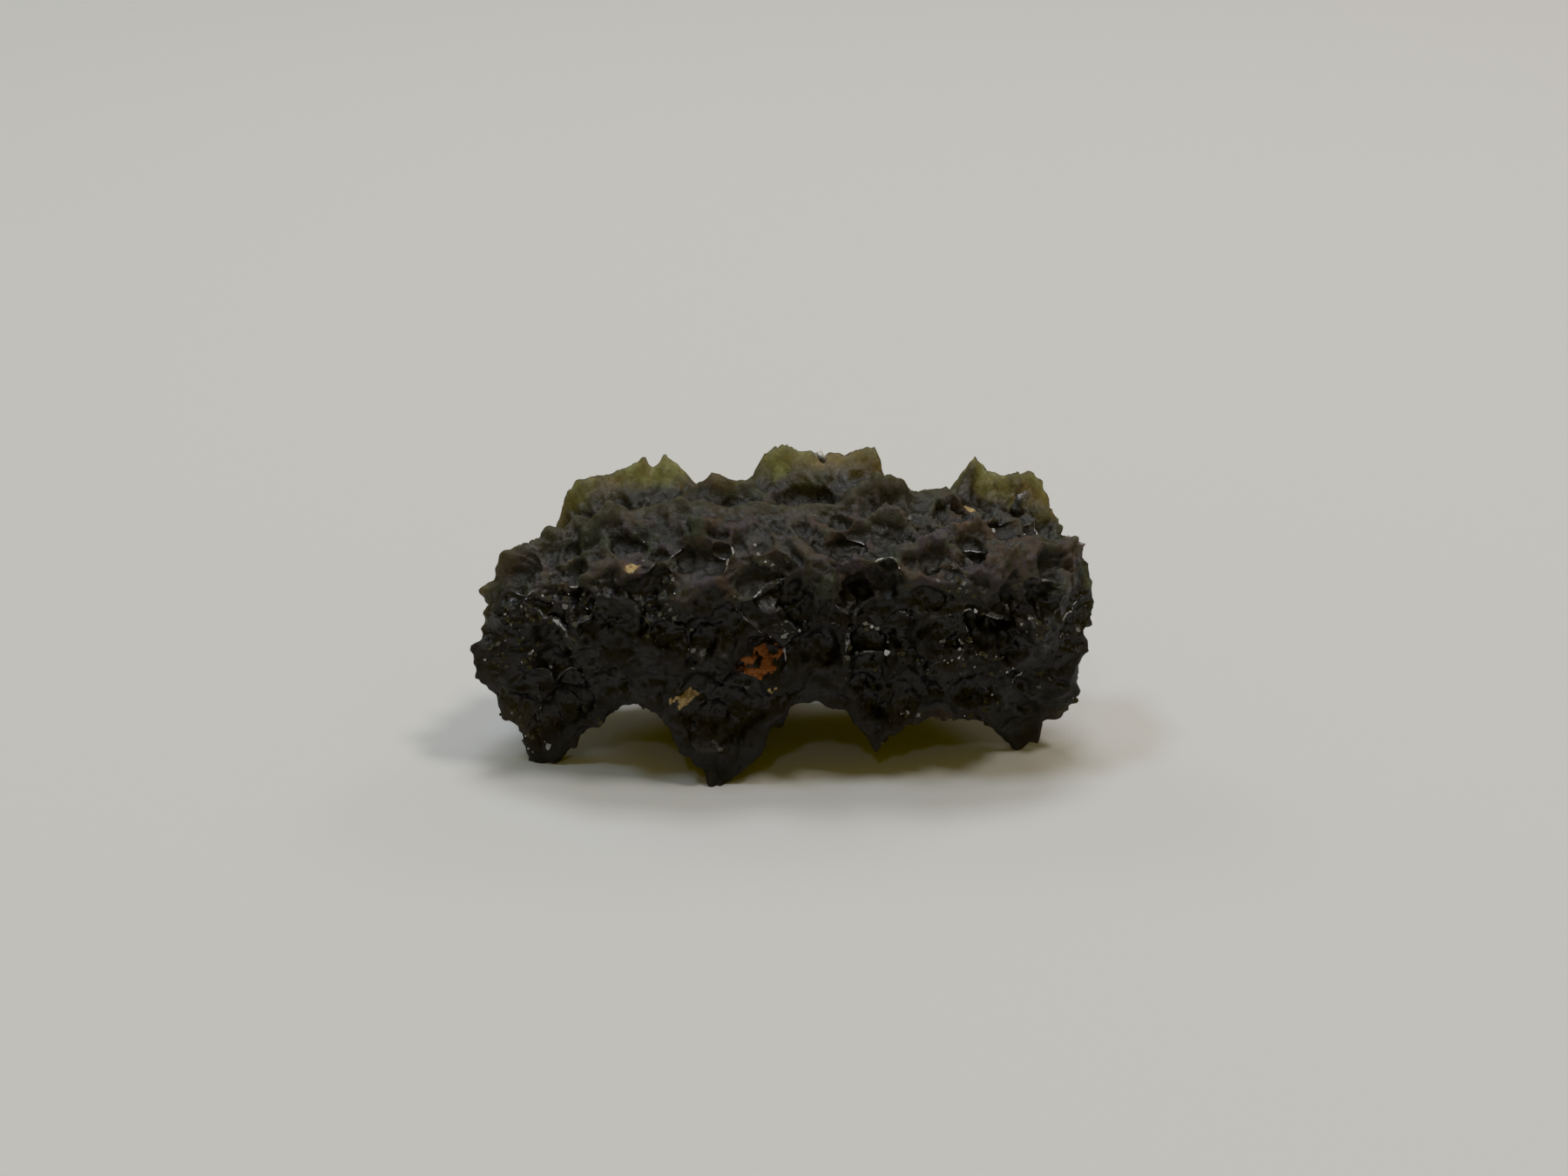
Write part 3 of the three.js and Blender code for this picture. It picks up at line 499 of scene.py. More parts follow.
def stone_surface(along, angle):
    """The stone's surface on a grid: the scooped blank with three sizes of scallops, each rim level -
    (distance to the nearest scattered point)^2, then pores, then teeth on the crests."""
    surface, push, nearness, closeness, thinness = scooped_surface(along, angle)
    rugged = ruggedness(surface, angle)
    tilt = SLOPE_TILT + (RUGGED_TILT - SLOPE_TILT) * rugged
    raised = np.zeros_like(nearness)
    least, spread = SCALLOP_STRENGTHS
    for width, slope_depth, depth, seed, on_crest, on_fin in SCALLOPS:
        place = surface + push * raised[..., None]
        ragged = place + wander(place, width * SCALLOP_RAG_WIDTHS, seed + 50) * width * SCALLOP_RAGGEDNESS
        strength = least + spread * smooth_noise(place, width * SCALLOP_PATCH_WIDTHS, seed + 30)
        bowl = SCALLOP_RIM_LEVEL - cell_distance(ragged, width, seed, SCALLOP_VARIETY, tilt)
        share = (1 - (1 - on_crest) * nearness) * (1 - SCALLOP_CREST_LOSS * closeness)
        share = share * (1 - (1 - on_fin) * np.sqrt(thinness))
        raised -= (slope_depth + (depth - slope_depth) * rugged) * strength * bowl * share
    pitted = np.zeros_like(raised)
    for width, radius, depth, seed in PORES:
        place = surface + wander(surface, width * PORE_RAG_WIDTHS, seed + 9) * radius * PORE_RAGGEDNESS
        away = np.sqrt(cell_distance(place, width, seed)) * width / radius
        pitted = np.maximum(pitted, depth * np.clip(1 - away ** 3, 0, 1))
    crowded = patches(surface, 77, *PORE_PATCHES)
    solid = np.clip(1 - PORE_FIN_LOSS * thinness, 0, 1)
    share = PORES_ON_SLOPE + (1 - PORES_ON_SLOPE) * rugged
    raised -= pitted * share * crowded * (1 - PORE_CREST_LOSS * nearness) * solid
    for width, height, seed in UNEVENNESS:
        patchy = 0.5 + smooth_noise(surface, UNEVENNESS_PATCH, seed + 1)
        raised += height * (smooth_noise(surface, width, seed) - 0.5) * patchy
    for width, height, seed in TEETH:
        patchy = patches(surface, seed + 5, *TEETH_PATCHES)
        raised += height * patchy * (2 * smooth_noise(surface, width, seed) - TEETH_LEVEL) * nearness
    surface = surface + push * raised[..., None]
    surface[..., 2] = np.maximum(surface[..., 2], 0)
    surface[[0, -1]] = surface[[0, -1]].mean(1, keepdims=True)
    return surface, rugged, thinness


def blurred(grid, cells):
    """Values averaged over a square window of cells, which closes round the second way."""
    window = range(-cells, cells + 1)
    columns = sum(np.roll(grid, step, axis=1) for step in window) / len(window)
    padded = np.pad(columns, ((cells, cells), (0, 0)), mode="edge")
    return sum(padded[cells + step:cells + step + len(grid)] for step in window) / len(window)


def ridge_height(surface):
    """How far each point stands out from the surface about it, from -1 in a pit to 1 on a ridge: its radius
    less the blurred radius, over a narrow and a wide window."""
    radius = np.linalg.norm(surface - core_at(surface[..., 0]), axis=-1)
    narrow, wide = [radius - blurred(blurred(radius, cells), cells) for cells in RIDGE_WINDOWS]
    return np.tanh(narrow / RIDGE_HEIGHTS[0] + wide / RIDGE_HEIGHTS[1])


def fitted(surface):
    """The surface moved sideways so that its box and the frame's share a middle, and shrunk towards the
    middle of the footprint along any axis where its box would be the larger one."""
    low, high = np.array(cad_box) / MM
    smallest, largest = surface.min((0, 1)), surface.max((0, 1))
    footprint = (1, 1, 0)
    middle = (smallest + largest) / 2 * footprint
    target = (low + high) / 2 * footprint
    return (surface - middle) * np.minimum((high - low) / (largest - smallest), 1) + target


# ---- Meshes ----

def grid_triangles(surface):
    """Two triangles for every cell of a grid that closes round the second way, with one vertex for each pole.
    A cell is split along the diagonal that stands further from the core, so that the ridges stay whole."""
    rows, columns = surface.shape[:2]
    offset = surface[1:-1] - core_at(surface[1:-1, :, 0])
    after = np.roll(offset, -1, axis=1)
    swap = np.linalg.norm(offset[:-1] + after[1:], axis=-1) > np.linalg.norm(after[:-1] + offset[1:], axis=-1)
    row, column = np.meshgrid(np.arange(rows - 3), np.arange(columns), indexing="ij")
    beside = (column + 1) % columns
    first = 1 + row * columns + column
    second = 1 + row * columns + beside
    third = first + columns
    fourth = second + columns
    lower = np.stack([first, third, np.where(swap, fourth, second)], -1)
    upper = np.where(
        swap[..., None],
        np.stack([first, fourth, second], -1),
        np.stack([second, third, fourth], -1),
    )
    ring = np.arange(columns)
    after_ring = (ring + 1) % columns
    last_row = 1 + (rows - 3) * columns
    far_pole = last_row + columns
    near_cap = np.stack([0 * ring, 1 + ring, 1 + after_ring], -1)
    far_cap = np.stack([0 * ring + far_pole, last_row + after_ring, last_row + ring], -1)
    return np.concatenate([lower.reshape(-1, 3), upper.reshape(-1, 3), near_cap, far_cap])


def outward_faces(vertices, triangles):
    """The triangles turned round if the volume that they enclose comes out negative."""
    a, b, c = vertices[triangles.T]
    return triangles if (a * np.cross(b, c)).sum() > 0 else triangles[:, ::-1]


def add_object(name, data):
    """An object in the scene."""
    made = bpy.data.objects.new(name, data)
    bpy.context.scene.collection.objects.link(made)
    return made


def add_piece(name, vertices, triangles, material, attributes=None, smooth=True):
    """A mesh object with its place in its vertices, which are given in millimetres."""
    mesh = bpy.data.meshes.new(name)
    mesh.from_pydata((vertices * MM).tolist(), [], outward_faces(vertices, triangles).tolist())
    mesh.polygons.foreach_set("use_smooth", np.full(len(mesh.polygons), smooth))
    for label, values in (attributes or {}).items():
        layer = mesh.attributes.new(label, "FLOAT", "POINT")
        layer.data.foreach_set("value", values.astype(np.float32))
    mesh.update()
    mesh.materials.append(material)
    return add_object(name, mesh)


def pole_merged(grid):
    """The grid's values as one list, with one value for each pole."""
    return np.concatenate([grid[:1, 0], grid[1:-1].reshape(-1, *grid.shape[2:]), grid[-1:, 0]])


# ---- Dried clay ----

# Shares are of the window's half, the coarse noise and the thickness, and CLAY_REACH is a number of cells
CLAY_CELLS = 56
CLAY_RAGS = (0.5, 0.22)
CLAY_FINE_SHARE = 0.7
CLAY_CRUMB = 0.12
CLAY_SHARE = 0.8
CLAY_EDGE = 2.2
CLAY_CRUMB_SHARE = 0.35
CLAY_SINK = 0.02
CLAY_LOWEST = -0.15
CLAY_UNDERSIDE = 0.3
CLAY_REACH = 5


def grid_at(grid, row, column):
    """Values between the grid's points, blended from four. The second way closes round."""
    low_row = np.clip(np.floor(row).astype(int), 0, len(grid) - 2)
    low_column = np.floor(column).astype(int)
    row_share = (row - low_row)[..., None]
    column_share = (column - low_column)[..., None]
    left = low_column % COLUMNS
    right = (low_column + 1) % COLUMNS
    near, far = [
        grid[line, left] * (1 - column_share) + grid[line, right] * column_share
        for line in (low_row, low_row + 1)
    ]
    return near * (1 - row_share) + far * row_share


def nearest_cell(place):
    """Row and column of the grid point nearest to a place given by along and round."""
    turn = (angle - math.radians(place[1]) + math.pi) % (2 * math.pi) - math.pi
    gap = np.hypot(along - place[0], turn * CAPSULE_RADIUS)
    return np.unravel_index(gap.argmin(), gap.shape)


def clay_crust(name, place, width, height, thickness, curl, seed, material):
    """A crust over a window of the stone's surface. It falls away with the distance from its middle line,
    made ragged by noise, and dives into the glass all round. The middle line is an arc of the curl's radius
    from its start to its end, in degrees, or a point where the radius is 0. The same grid a little deeper in
    closes it underneath."""
    row, column = nearest_cell(place)
    reach = CLAY_REACH
    row_step = np.linalg.norm(surface[row + reach, column] - surface[row - reach, column]) / (2 * reach)
    beside = surface[row, [(column + reach) % COLUMNS, (column - reach) % COLUMNS]]
    column_step = np.linalg.norm(beside[0] - beside[1]) / (2 * reach)
    line = np.linspace(-1, 1, CLAY_CELLS)
    u, v = np.meshgrid(line, line, indexing="ij")
    row = row + u * width / 2 / row_step
    column = column + v * height / 2 / column_step
    places = grid_at(surface, row, column)
    normals = unit(grid_at(grid_normals(surface), row, column))
    coarse, fine = [smooth_noise(places, CLAY_RAGS[size], seed + 7 * size) - 0.5 for size in (0, 1)]
    arc_radius, arc_start, arc_end = curl
    bearing = np.radians(np.clip(np.degrees(np.arctan2(v, u)), arc_start, arc_end))
    away = np.hypot(u - arc_radius * np.cos(bearing), v - arc_radius * np.sin(bearing))
    away = away + (coarse + CLAY_FINE_SHARE * fine)
    rise = np.clip(1 - away / (CLAY_SHARE - arc_radius), -1, 1)
    crumbs = smooth_noise(places, CLAY_CRUMB, seed + 3) - 0.5
    lift = thickness * (np.tanh(CLAY_EDGE * rise) + CLAY_CRUMB_SHARE * crumbs * (rise > 0)) - CLAY_SINK
    outer = places + normals * np.maximum(lift, CLAY_LOWEST)[..., None]
    inner = places - normals * CLAY_UNDERSIDE
    count = u.size
    index = np.arange(count).reshape(u.shape)
    first, second, third, fourth = index[:-1, :-1], index[:-1, 1:], index[1:, :-1], index[1:, 1:]
    top = np.concatenate([
        np.stack([first, third, second], -1).reshape(-1, 3),
        np.stack([second, third, fourth], -1).reshape(-1, 3),
    ])
    rim = np.concatenate([index[0, :-1], index[:-1, -1], index[-1, :0:-1], index[:0:-1, 0]])
    after = np.roll(rim, -1)
    wall = np.concatenate([
        np.stack([rim, after, rim + count], -1),
        np.stack([after, after + count, rim + count], -1),
    ])
    vertices = np.concatenate([outer.reshape(-1, 3), inner.reshape(-1, 3)])
    return add_piece(name, vertices, np.concatenate([top, top[:, ::-1] + count, wall]), material)


# ---- Fresh chips ----

CHIP_COUNT = 440
CHIP_LOWEST = 0.5
CHIP_FARTHEST = 17.0
CHIP_CORNERS = 6
CHIP_RADII = (0.05, 0.17)
CHIP_FACING = np.array((-0.08, -0.80, 0.595))
CHIP_SPREAD = 0.2
CHIP_LIFT = 0.4
CHIP_TURN = 0.6
CHIP_REACHES = (0.6, 0.8)
CHIP_LEAST_FACING = 0.35
CHIP_LEAST_RIDGE = -0.2
CHIP_THINNEST = 0.1
CHIP_SHARES = (0.3, 0.7)
CHIP_SCATTER = 0.3
CHIP_PATCH = 2.4
CHIP_PATCH_LEVEL = 0.53
CHIP_RIGHT_LOSS = 0.006


def fresh_chips(name, material):
    """Small fresh chips scattered in patches where the stone faces forwards. Each is a six-sided flat on top
    of a short pyramid that is let into the glass, and the flats lie within a few degrees of one another."""
    normals = grid_normals(surface)
    likely = (normals @ CHIP_FACING > CHIP_LEAST_FACING) & (ridge > CHIP_LEAST_RIDGE)
    level = CHIP_PATCH_LEVEL + CHIP_RIGHT_LOSS * surface[..., 0]
    likely &= smooth_noise(surface, CHIP_PATCH, 131) > level
    on_slope, more_elsewhere = CHIP_SHARES
    likely &= smooth_noise(surface, CHIP_SCATTER, 137) < on_slope + more_elsewhere * rugged
    likely &= thinness < CHIP_THINNEST
    likely &= (surface[..., 2] > CHIP_LOWEST) & (np.abs(surface[..., 0]) < CHIP_FARTHEST)
    rows, columns = np.nonzero(likely)
    order = np.argsort(scatter(np.arange(len(rows)), 17))[:CHIP_COUNT]
    rows, columns = rows[order], columns[order]
    index = np.arange(len(rows))
    lean = np.stack([scatter(index, 23 + axis) for axis in range(3)], -1) - 0.5
    facing = unit(CHIP_FACING + CHIP_SPREAD * lean)
    sideways = unit(np.cross(facing, (0, 0, 1)))
    upwards = np.cross(sideways, facing)
    radius = CHIP_RADII[0] + (CHIP_RADII[1] - CHIP_RADII[0]) * scatter(index, 29) ** 2
    middle = surface[rows, columns] + normals[rows, columns] * radius[:, None] * CHIP_LIFT
    corners = []
    for corner in range(CHIP_CORNERS):
        turn = (corner + CHIP_TURN * scatter(index, 31 + corner)) * 2 * math.pi / CHIP_CORNERS
        reach = radius * (CHIP_REACHES[0] + CHIP_REACHES[1] * scatter(index, 41 + corner))
        aside = (reach * np.cos(turn))[:, None] * sideways
        corners.append(middle + aside + (reach * np.sin(turn))[:, None] * upwards)
    tip = middle - radius[:, None] * facing
    vertices = np.stack([middle, *corners, tip], 1)
    ring = np.arange(CHIP_CORNERS)
    after = (ring + 1) % CHIP_CORNERS
    one = np.concatenate([
        np.stack([0 * ring, 1 + ring, 1 + after], -1),
        np.stack([0 * ring + CHIP_CORNERS + 1, 1 + after, 1 + ring], -1),
    ])
    triangles = one[None] + (index * vertices.shape[1])[:, None, None]
    return add_piece(name, vertices.reshape(-1, 3), triangles.reshape(-1, 3), material, smooth=False)


# ---- Materials ----

# Colours of the etched skin. The pit colour and the dark colour are painted shade for pits, hollows and the
# fine grain's low spots
SLOPE_FILM = (0.52, 0.63, 0.36, 1.0)
BROWN_FILM = (0.76, 0.46, 0.28, 1.0)
LAVENDER_FILM = (0.62, 0.45, 0.56, 1.0)
FIN_FILM = (0.60, 0.60, 0.33, 1.0)
STAINED_FIN_FILM = (0.55, 0.44, 0.24, 1.0)
# Painted shade: the dark colour put in the pits of the upper slope
PAINTED_SLOPE_PIT_SHADE = (0.09, 0.075, 0.045, 1.0)
FRONT_FILM = (0.055, 0.055, 0.042, 1.0)
DEEP_FILM = (0.075, 0.038, 0.024, 1.0)
# Painted shade: the dark colour put in the pits off the slope and in the fine grain's low spots
PAINTED_DARK_SHADE = (0.022, 0.018, 0.012, 1.0)

# The glass itself: what it lets through, how much it takes out in each metre, and the tint of its shine
GLASS_IOR = 1.48
GLASS_BODY = (0.62, 0.59, 0.05, 1.0)
GLASS_DENSITY = 5600.0
GLASS_SHEEN = (0.8, 0.78, 0.74, 1.0)

CHIP_COLOUR = (0.03, 0.028, 0.02, 1.0)
FLOOR_COLOUR = (0.68, 0.675, 0.68, 1.0)


def add_node(tree, kind, **settings):
    """A node with its properties."""
    node = tree.nodes.new(kind)
    for key, value in settings.items():
        setattr(node, key, value)
    return node


def put(tree, socket, value):
    """Sets an input socket to a value, or links it if the value is another node's socket."""
    if isinstance(value, bpy.types.NodeSocket):
        tree.links.new(value, socket)
    else:
        socket.default_value = value


def fill(tree, node, **values):
    """Sets or links a node's inputs by name, with underscores for spaces."""
    for key, value in values.items():
        put(tree, node.inputs[key.replace("_", " ")], value)
    return node


def new_material(name):
    """A material, its node tree and its Principled BSDF."""
    material = bpy.data.materials.new(name)
    material.use_nodes = True
    return material, material.node_tree, material.node_tree.nodes["Principled BSDF"]


def new_group(name, inputs, outputs):
    """A shader node group, with the names and defaults of its inputs and outputs."""
    group = bpy.data.node_groups.new(name, "ShaderNodeTree")
    for way, sockets in (("INPUT", inputs), ("OUTPUT", outputs)):
        for label, default in sockets.items():
            kind = "NodeSocketFloat" if isinstance(default, float) else "NodeSocketVector"
            group.interface.new_socket(label, in_out=way, socket_type=kind).default_value = default
    return group, group.nodes.new("NodeGroupInput").outputs, group.nodes.new("NodeGroupOutput").inputs


def apply_group(tree, group, **values):
    """The outputs of a node group that is placed in a material with values of its own."""
    return fill(tree, add_node(tree, "ShaderNodeGroup", node_tree=group), **values).outputs


def object_place(tree):
    """Where a point is on the object."""
    return add_node(tree, "ShaderNodeTexCoord").outputs["Object"]


def stored(tree, name):
    """What the mesh keeps under a name at each vertex."""
    return add_node(tree, "ShaderNodeAttribute", attribute_name=name).outputs["Fac"]


def noise(tree, vector, scale, detail=2.0, roughness=0.5, distortion=0.0):
    """A noise texture's value socket."""
    node = add_node(tree, "ShaderNodeTexNoise")
    fill(tree, node, Vector=vector, Scale=scale, Detail=detail, Roughness=roughness, Distortion=distortion)
    return node.outputs["Fac"]


def scattered_cells(tree, vector, scale):
    """The distance to the nearest of the points scattered one to a cell, and a colour of its own."""
    node = add_node(tree, "ShaderNodeTexVoronoi", feature="F1")
    return fill(tree, node, Vector=vector, Scale=scale).outputs


def maths(tree, operation, first, second=0.0, third=0.0):
    """The value of a Math node."""
    node = add_node(tree, "ShaderNodeMath", operation=operation)
    for place, value in enumerate((first, second, third)):
        put(tree, node.inputs[place], value)
    return node.outputs[0]


def vector_maths(tree, operation, first, second=(0.0, 0.0, 0.0)):
    """The vector of a Vector Math node. Where it scales, the second value is the factor."""
    node = add_node(tree, "ShaderNodeVectorMath", operation=operation)
    put(tree, node.inputs[0], first)
    put(tree, node.inputs["Scale" if operation == "SCALE" else 1], second)
    return node.outputs[0]


def remap(tree, value, low, high, new_low=0.0, new_high=1.0):
    """The value stretched from one range to another and held within it."""
    node = add_node(tree, "ShaderNodeMapRange", clamp=True)
    fill(tree, node, Value=value, From_Min=low, From_Max=high, To_Min=new_low, To_Max=new_high)
    return node.outputs["Result"]


# Where a Mix node keeps its factor, its two values and their blend, by the kind of value
MIX_SOCKETS = {"FLOAT": (0, 2, 3, 0), "RGBA": (0, 6, 7, 2)}


def mix(tree, kind, share, first, second):
    """Two values blended."""
    node = add_node(tree, "ShaderNodeMix", data_type=kind)
    *places, blend = MIX_SOCKETS[kind]
    for place, value in zip(places, (share, first, second)):
        put(tree, node.inputs[place], value)
    return node.outputs[blend]


def mix_colours(tree, share, first, second):
    """Two colours blended."""
    return mix(tree, "RGBA", share, first, second)


def bump(tree, height, strength, distance):
    """The surface's normal with a height added."""
    node = add_node(tree, "ShaderNodeBump")
    return fill(tree, node, Height=height, Strength=strength, Distance=distance).outputs["Normal"]


FINE_GRAIN_SCALE = 3.7
GRAIN_PATCH_SCALE = 0.25
MIDDLE_GREY = (0.5, 0.5, 0.5)
FACET_WARP = 0.8


def grain_group():
    """Fine grain: two sizes of noise. Scale is the coarse one's, per metre."""
    group, given, out = new_group(
        "grain", {"Scale": 3000.0, "Fine share": 0.5}, {"Height": 0.0, "Patches": 0.0},
    )
    place = object_place(group)
    coarse = noise(group, place, given["Scale"], detail=3.0)
    fine_scale = maths(group, "MULTIPLY", given["Scale"], FINE_GRAIN_SCALE)
    fine = noise(group, place, fine_scale, detail=2.0)
    height = mix(group, "FLOAT", given["Fine share"], coarse, fine)
    patch_scale = maths(group, "MULTIPLY", given["Scale"], GRAIN_PATCH_SCALE)
    group.links.new(height, out["Height"])
    group.links.new(noise(group, place, patch_scale, detail=3.0), out["Patches"])
    return group


def etch_group():
    """Etch pits that meet in sharp rims: the squared distance to the nearest point scattered one to a cell.
    Scale is the number of cells in a metre, and Ragged how far noise pulls their outlines about."""
    group, given, out = new_group("etch_pits", {"Scale": 2500.0, "Ragged": 0.0001}, {"Height": 0.0})
    place = object_place(group)
    warp = add_node(group, "ShaderNodeTexNoise")
    fill(group, warp, Vector=place, Scale=given["Scale"], Detail=2.0)
    about_zero = vector_maths(group, "SUBTRACT", warp.outputs["Color"], MIDDLE_GREY)
    pull = vector_maths(group, "SCALE", about_zero, given["Ragged"])
    cells = scattered_cells(group, vector_maths(group, "ADD", place, pull), given["Scale"])
    group.links.new(maths(group, "POWER", cells["Distance"], 2.0), out["Height"])
    return group


def facet_group():
    """Small flat facets: the surface's normal leans by a random vector of its own in each cell. Scale is the
    number of cells in a metre, and Lean the share of the random vector that is added."""
    group, given, out = new_group(
        "facets", {"Scale": 5000.0, "Lean": 0.5, "Normal": (0, 0, 1)}, {"Normal": (0, 0, 0)},
    )
    place = object_place(group)
    warp = add_node(group, "ShaderNodeTexNoise")
    warp_scale = maths(group, "MULTIPLY", given["Scale"], FACET_WARP)
    fill(group, warp, Vector=place, Scale=warp_scale, Detail=1.0)
    reach = maths(group, "DIVIDE", FACET_WARP, given["Scale"])
    pull = vector_maths(group, "SCALE", warp.outputs["Color"], reach)
    cells = scattered_cells(group, vector_maths(group, "ADD", place, pull), given["Scale"])
    about_zero = vector_maths(group, "SUBTRACT", cells["Color"], MIDDLE_GREY)
    lean = vector_maths(group, "SCALE", about_zero, given["Lean"])
    leaning = vector_maths(group, "ADD", given["Normal"], lean)
    group.links.new(vector_maths(group, "NORMALIZE", leaning), out["Normal"])
    return group


def glass_material(grain, etch, facets):
    """Olive glass that takes out light by its depth, frosted by etching and glossier in its hollows. Its
    colour is painted darker in pits and in the fine grain's low spots as painted shade, and is left lighter
    on ridges.
    """
    material, tree, principled = new_material("etched_olive_glass")
    rugged = stored(tree, "rugged")
    ridge = stored(tree, "ridge")

    place = object_place(tree)
    glassy = remap(tree, noise(tree, place, 380.0, detail=3.0, roughness=0.6), 0.42, 0.54)

    skin = apply_group(tree, grain, Scale=3600.0, Fine_share=0.4)
    pits = apply_group(tree, etch, Scale=2700.0, Ragged=0.00008)
    depth = remap(tree, rugged, 0.0, 1.0, 0.3, 0.4)
    grained = maths(tree, "MULTIPLY", skin["Height"], remap(tree, rugged, 0.0, 1.0, 1.9, 0.7))
    height = maths(tree, "MULTIPLY_ADD", pits["Height"], depth, grained)
    bumped = bump(tree, height, 1.0, 0.00006)
    lean = remap(tree, rugged, 0.0, 1.0, 0.18, 0.16)
    flats = apply_group(tree, facets, Scale=1700.0, Lean=lean, Normal=bumped)
    lean = maths(tree, "MULTIPLY_ADD", glassy, remap(tree, rugged, 0.0, 1.0, 0.12, 0.22), 0.07)
    sparkle = apply_group(tree, facets, Scale=5600.0, Lean=lean, Normal=flats["Normal"])

    mottled = remap(tree, skin["Patches"], 0.35, 0.65, -0.07, 0.07)
    etched = remap(tree, rugged, 0.0, 1.0, 0.43, 0.41)
    polished = maths(tree, "MULTIPLY_ADD", glassy, remap(tree, rugged, 0.0, 1.0, -0.06, -0.13), etched)
    rubbed = maths(tree, "ADD", polished, remap(tree, ridge, 0.2, 0.8, 0.0, 0.25))
    roughness = maths(tree, "ADD", rubbed, mottled)

    brownish = remap(tree, noise(tree, place, 420.0, detail=4.0, roughness=0.6), 0.40, 0.60)
    greyish = remap(tree, noise(tree, place, 610.0, detail=4.0, roughness=0.6, distortion=0.8), 0.47, 0.62)
    dusted = mix_colours(tree, greyish, mix_colours(tree, brownish, SLOPE_FILM, BROWN_FILM), LAVENDER_FILM)
    stained = mix_colours(tree, brownish, FRONT_FILM, DEEP_FILM)
    rims = mix_colours(tree, rugged, dusted, stained)
    # Painted shade and light: by how far each point stands out, the colour goes to a dark pit colour in pits
    # and hollows and to the lighter film on ridges
    painted_shade_by_ridge = remap(tree, ridge, -0.7, 0.8)
    thin = remap(tree, stored(tree, "thin"), 0.2, 0.9)
    film_with_painted_shade = mix_colours(tree, painted_shade_by_ridge, mix_colours(tree, rugged, PAINTED_SLOPE_PIT_SHADE, PAINTED_DARK_SHADE), rims)
    film_with_painted_shade = mix_colours(tree, thin, film_with_painted_shade, mix_colours(tree, brownish, FIN_FILM, STAINED_FIN_FILM))
    # Painted shade: the fine grain's low spots are darkened by up to 0.45 towards the dark shade colour
    film_with_painted_shade = mix_colours(tree, remap(tree, skin["Height"], 0.40, 0.60, 0.45, 0.0), film_with_painted_shade, PAINTED_DARK_SHADE)
    fill(
        tree, principled,
        Base_Color=film_with_painted_shade, Roughness=roughness, IOR=GLASS_IOR, Transmission_Weight=0.90,
        Specular_IOR_Level=0.15, Specular_Tint=GLASS_SHEEN, Normal=sparkle["Normal"],
    )
    absorption = add_node(tree, "ShaderNodeVolumeAbsorption")
    fill(tree, absorption, Color=GLASS_BODY, Density=GLASS_DENSITY)
    tree.links.new(absorption.outputs["Volume"], tree.nodes["Material Output"].inputs["Volume"])
    return material


def clay_material(name, grain, dark, light, scale):
    """Dry matt clay, mottled between two colours and darker where it is thin in the grain."""
    material, tree, principled = new_material(name)
    skin = apply_group(tree, grain, Scale=scale, Fine_share=0.6)
    share = remap(tree, skin["Height"], 0.35, 0.62)
    bumped = bump(tree, skin["Height"], 0.7, 0.00008)
    roughness = remap(tree, skin["Patches"], 0.3, 0.7, 0.75, 0.95)
    fill(
        tree, principled,
        Base_Color=mix_colours(tree, share, dark, light), Roughness=roughness,
        Specular_IOR_Level=0.3, Normal=bumped,
    )
    return material


def chip_material():
    """Dark glass with the gloss of a fresh break."""
    material, tree, principled = new_material("freshly_broken_glass")
    fill(tree, principled, Base_Color=CHIP_COLOUR, Roughness=0.2, IOR=1.49, Specular_IOR_Level=1.0)
    return material


def floor_material():
    """Plain pale matt floor."""
    material, tree, principled = new_material("pale_floor")
    fill(tree, principled, Base_Color=FLOOR_COLOUR, Roughness=0.9, Specular_IOR_Level=0.2)
    return material


# ---- The scene around it ----

WARM_ROOM = (0.132, 0.097, 0.0, 1.0)
PALE_ROOM = (0.48, 0.48, 0.47, 1.0)
FLOOR_HALF = 1500
CAMERA_ELEVATION = 24
CAMERA_DISTANCE = 125
STONE_MIDDLE = (0, 0, CORE_HEIGHT)

# Lights: name, place, width and height, watts, colour
LIGHTS = [
    ("right_softbox", (430, -50, 910), (150, 150), 2.2, (1.0, 0.94, 0.86)),
    ("left_softbox", (-430, -30, 910), (150, 150), 1.4, (0.66, 0.83, 1.0)),
    ("top_softbox", (0, 40, 1000), (200, 200), 1.15, (0.85, 0.91, 1.0)),
    ("back_softbox", (0, 330, 940), (300, 220), 2.5, (0.88, 0.91, 1.0)),
    ("back_right_softbox", (540, 540, 650), (300, 260), 0.57, (0.95, 0.92, 0.88)),
    ("back_left_softbox", (-540, 540, 650), (300, 260), 0.52, (0.66, 0.83, 1.0)),
    ("front_lamp", (-150, -640, 760), (70, 70), 0.25, (1.0, 0.98, 0.95)),
]


def aim(made, place):
    """Puts an object at a place in millimetres, looking at the stone."""
    made.location = Vector(place) * MM
    sight = (Vector(STONE_MIDDLE) - Vector(place)) * MM
    made.rotation_euler = sight.to_track_quat("-Z", "Y").to_euler()
    return made


def add_camera():
    """A 50 mm lens that looks down at the stone's front."""
    elevation = math.radians(CAMERA_ELEVATION)
    height = CORE_HEIGHT + CAMERA_DISTANCE * math.sin(elevation)
    place = (0, -CAMERA_DISTANCE * math.cos(elevation), height)
    data = bpy.data.cameras.new("camera")
    data.lens = 50
    data.sensor_width = 36
    data.clip_start = 0.005
    data.clip_end = 5
    bpy.context.scene.camera = aim(add_object("camera", data), place)


def add_light(name, place, size, watts, colour):
    """A square area light, its place and size in millimetres."""
    data = bpy.data.lights.new(name, "AREA")
    data.shape = "RECTANGLE"
    data.size, data.size_y = size[0] * MM, size[1] * MM
    data.energy = watts
    data.color = colour
    aim(add_object(name, data), place)


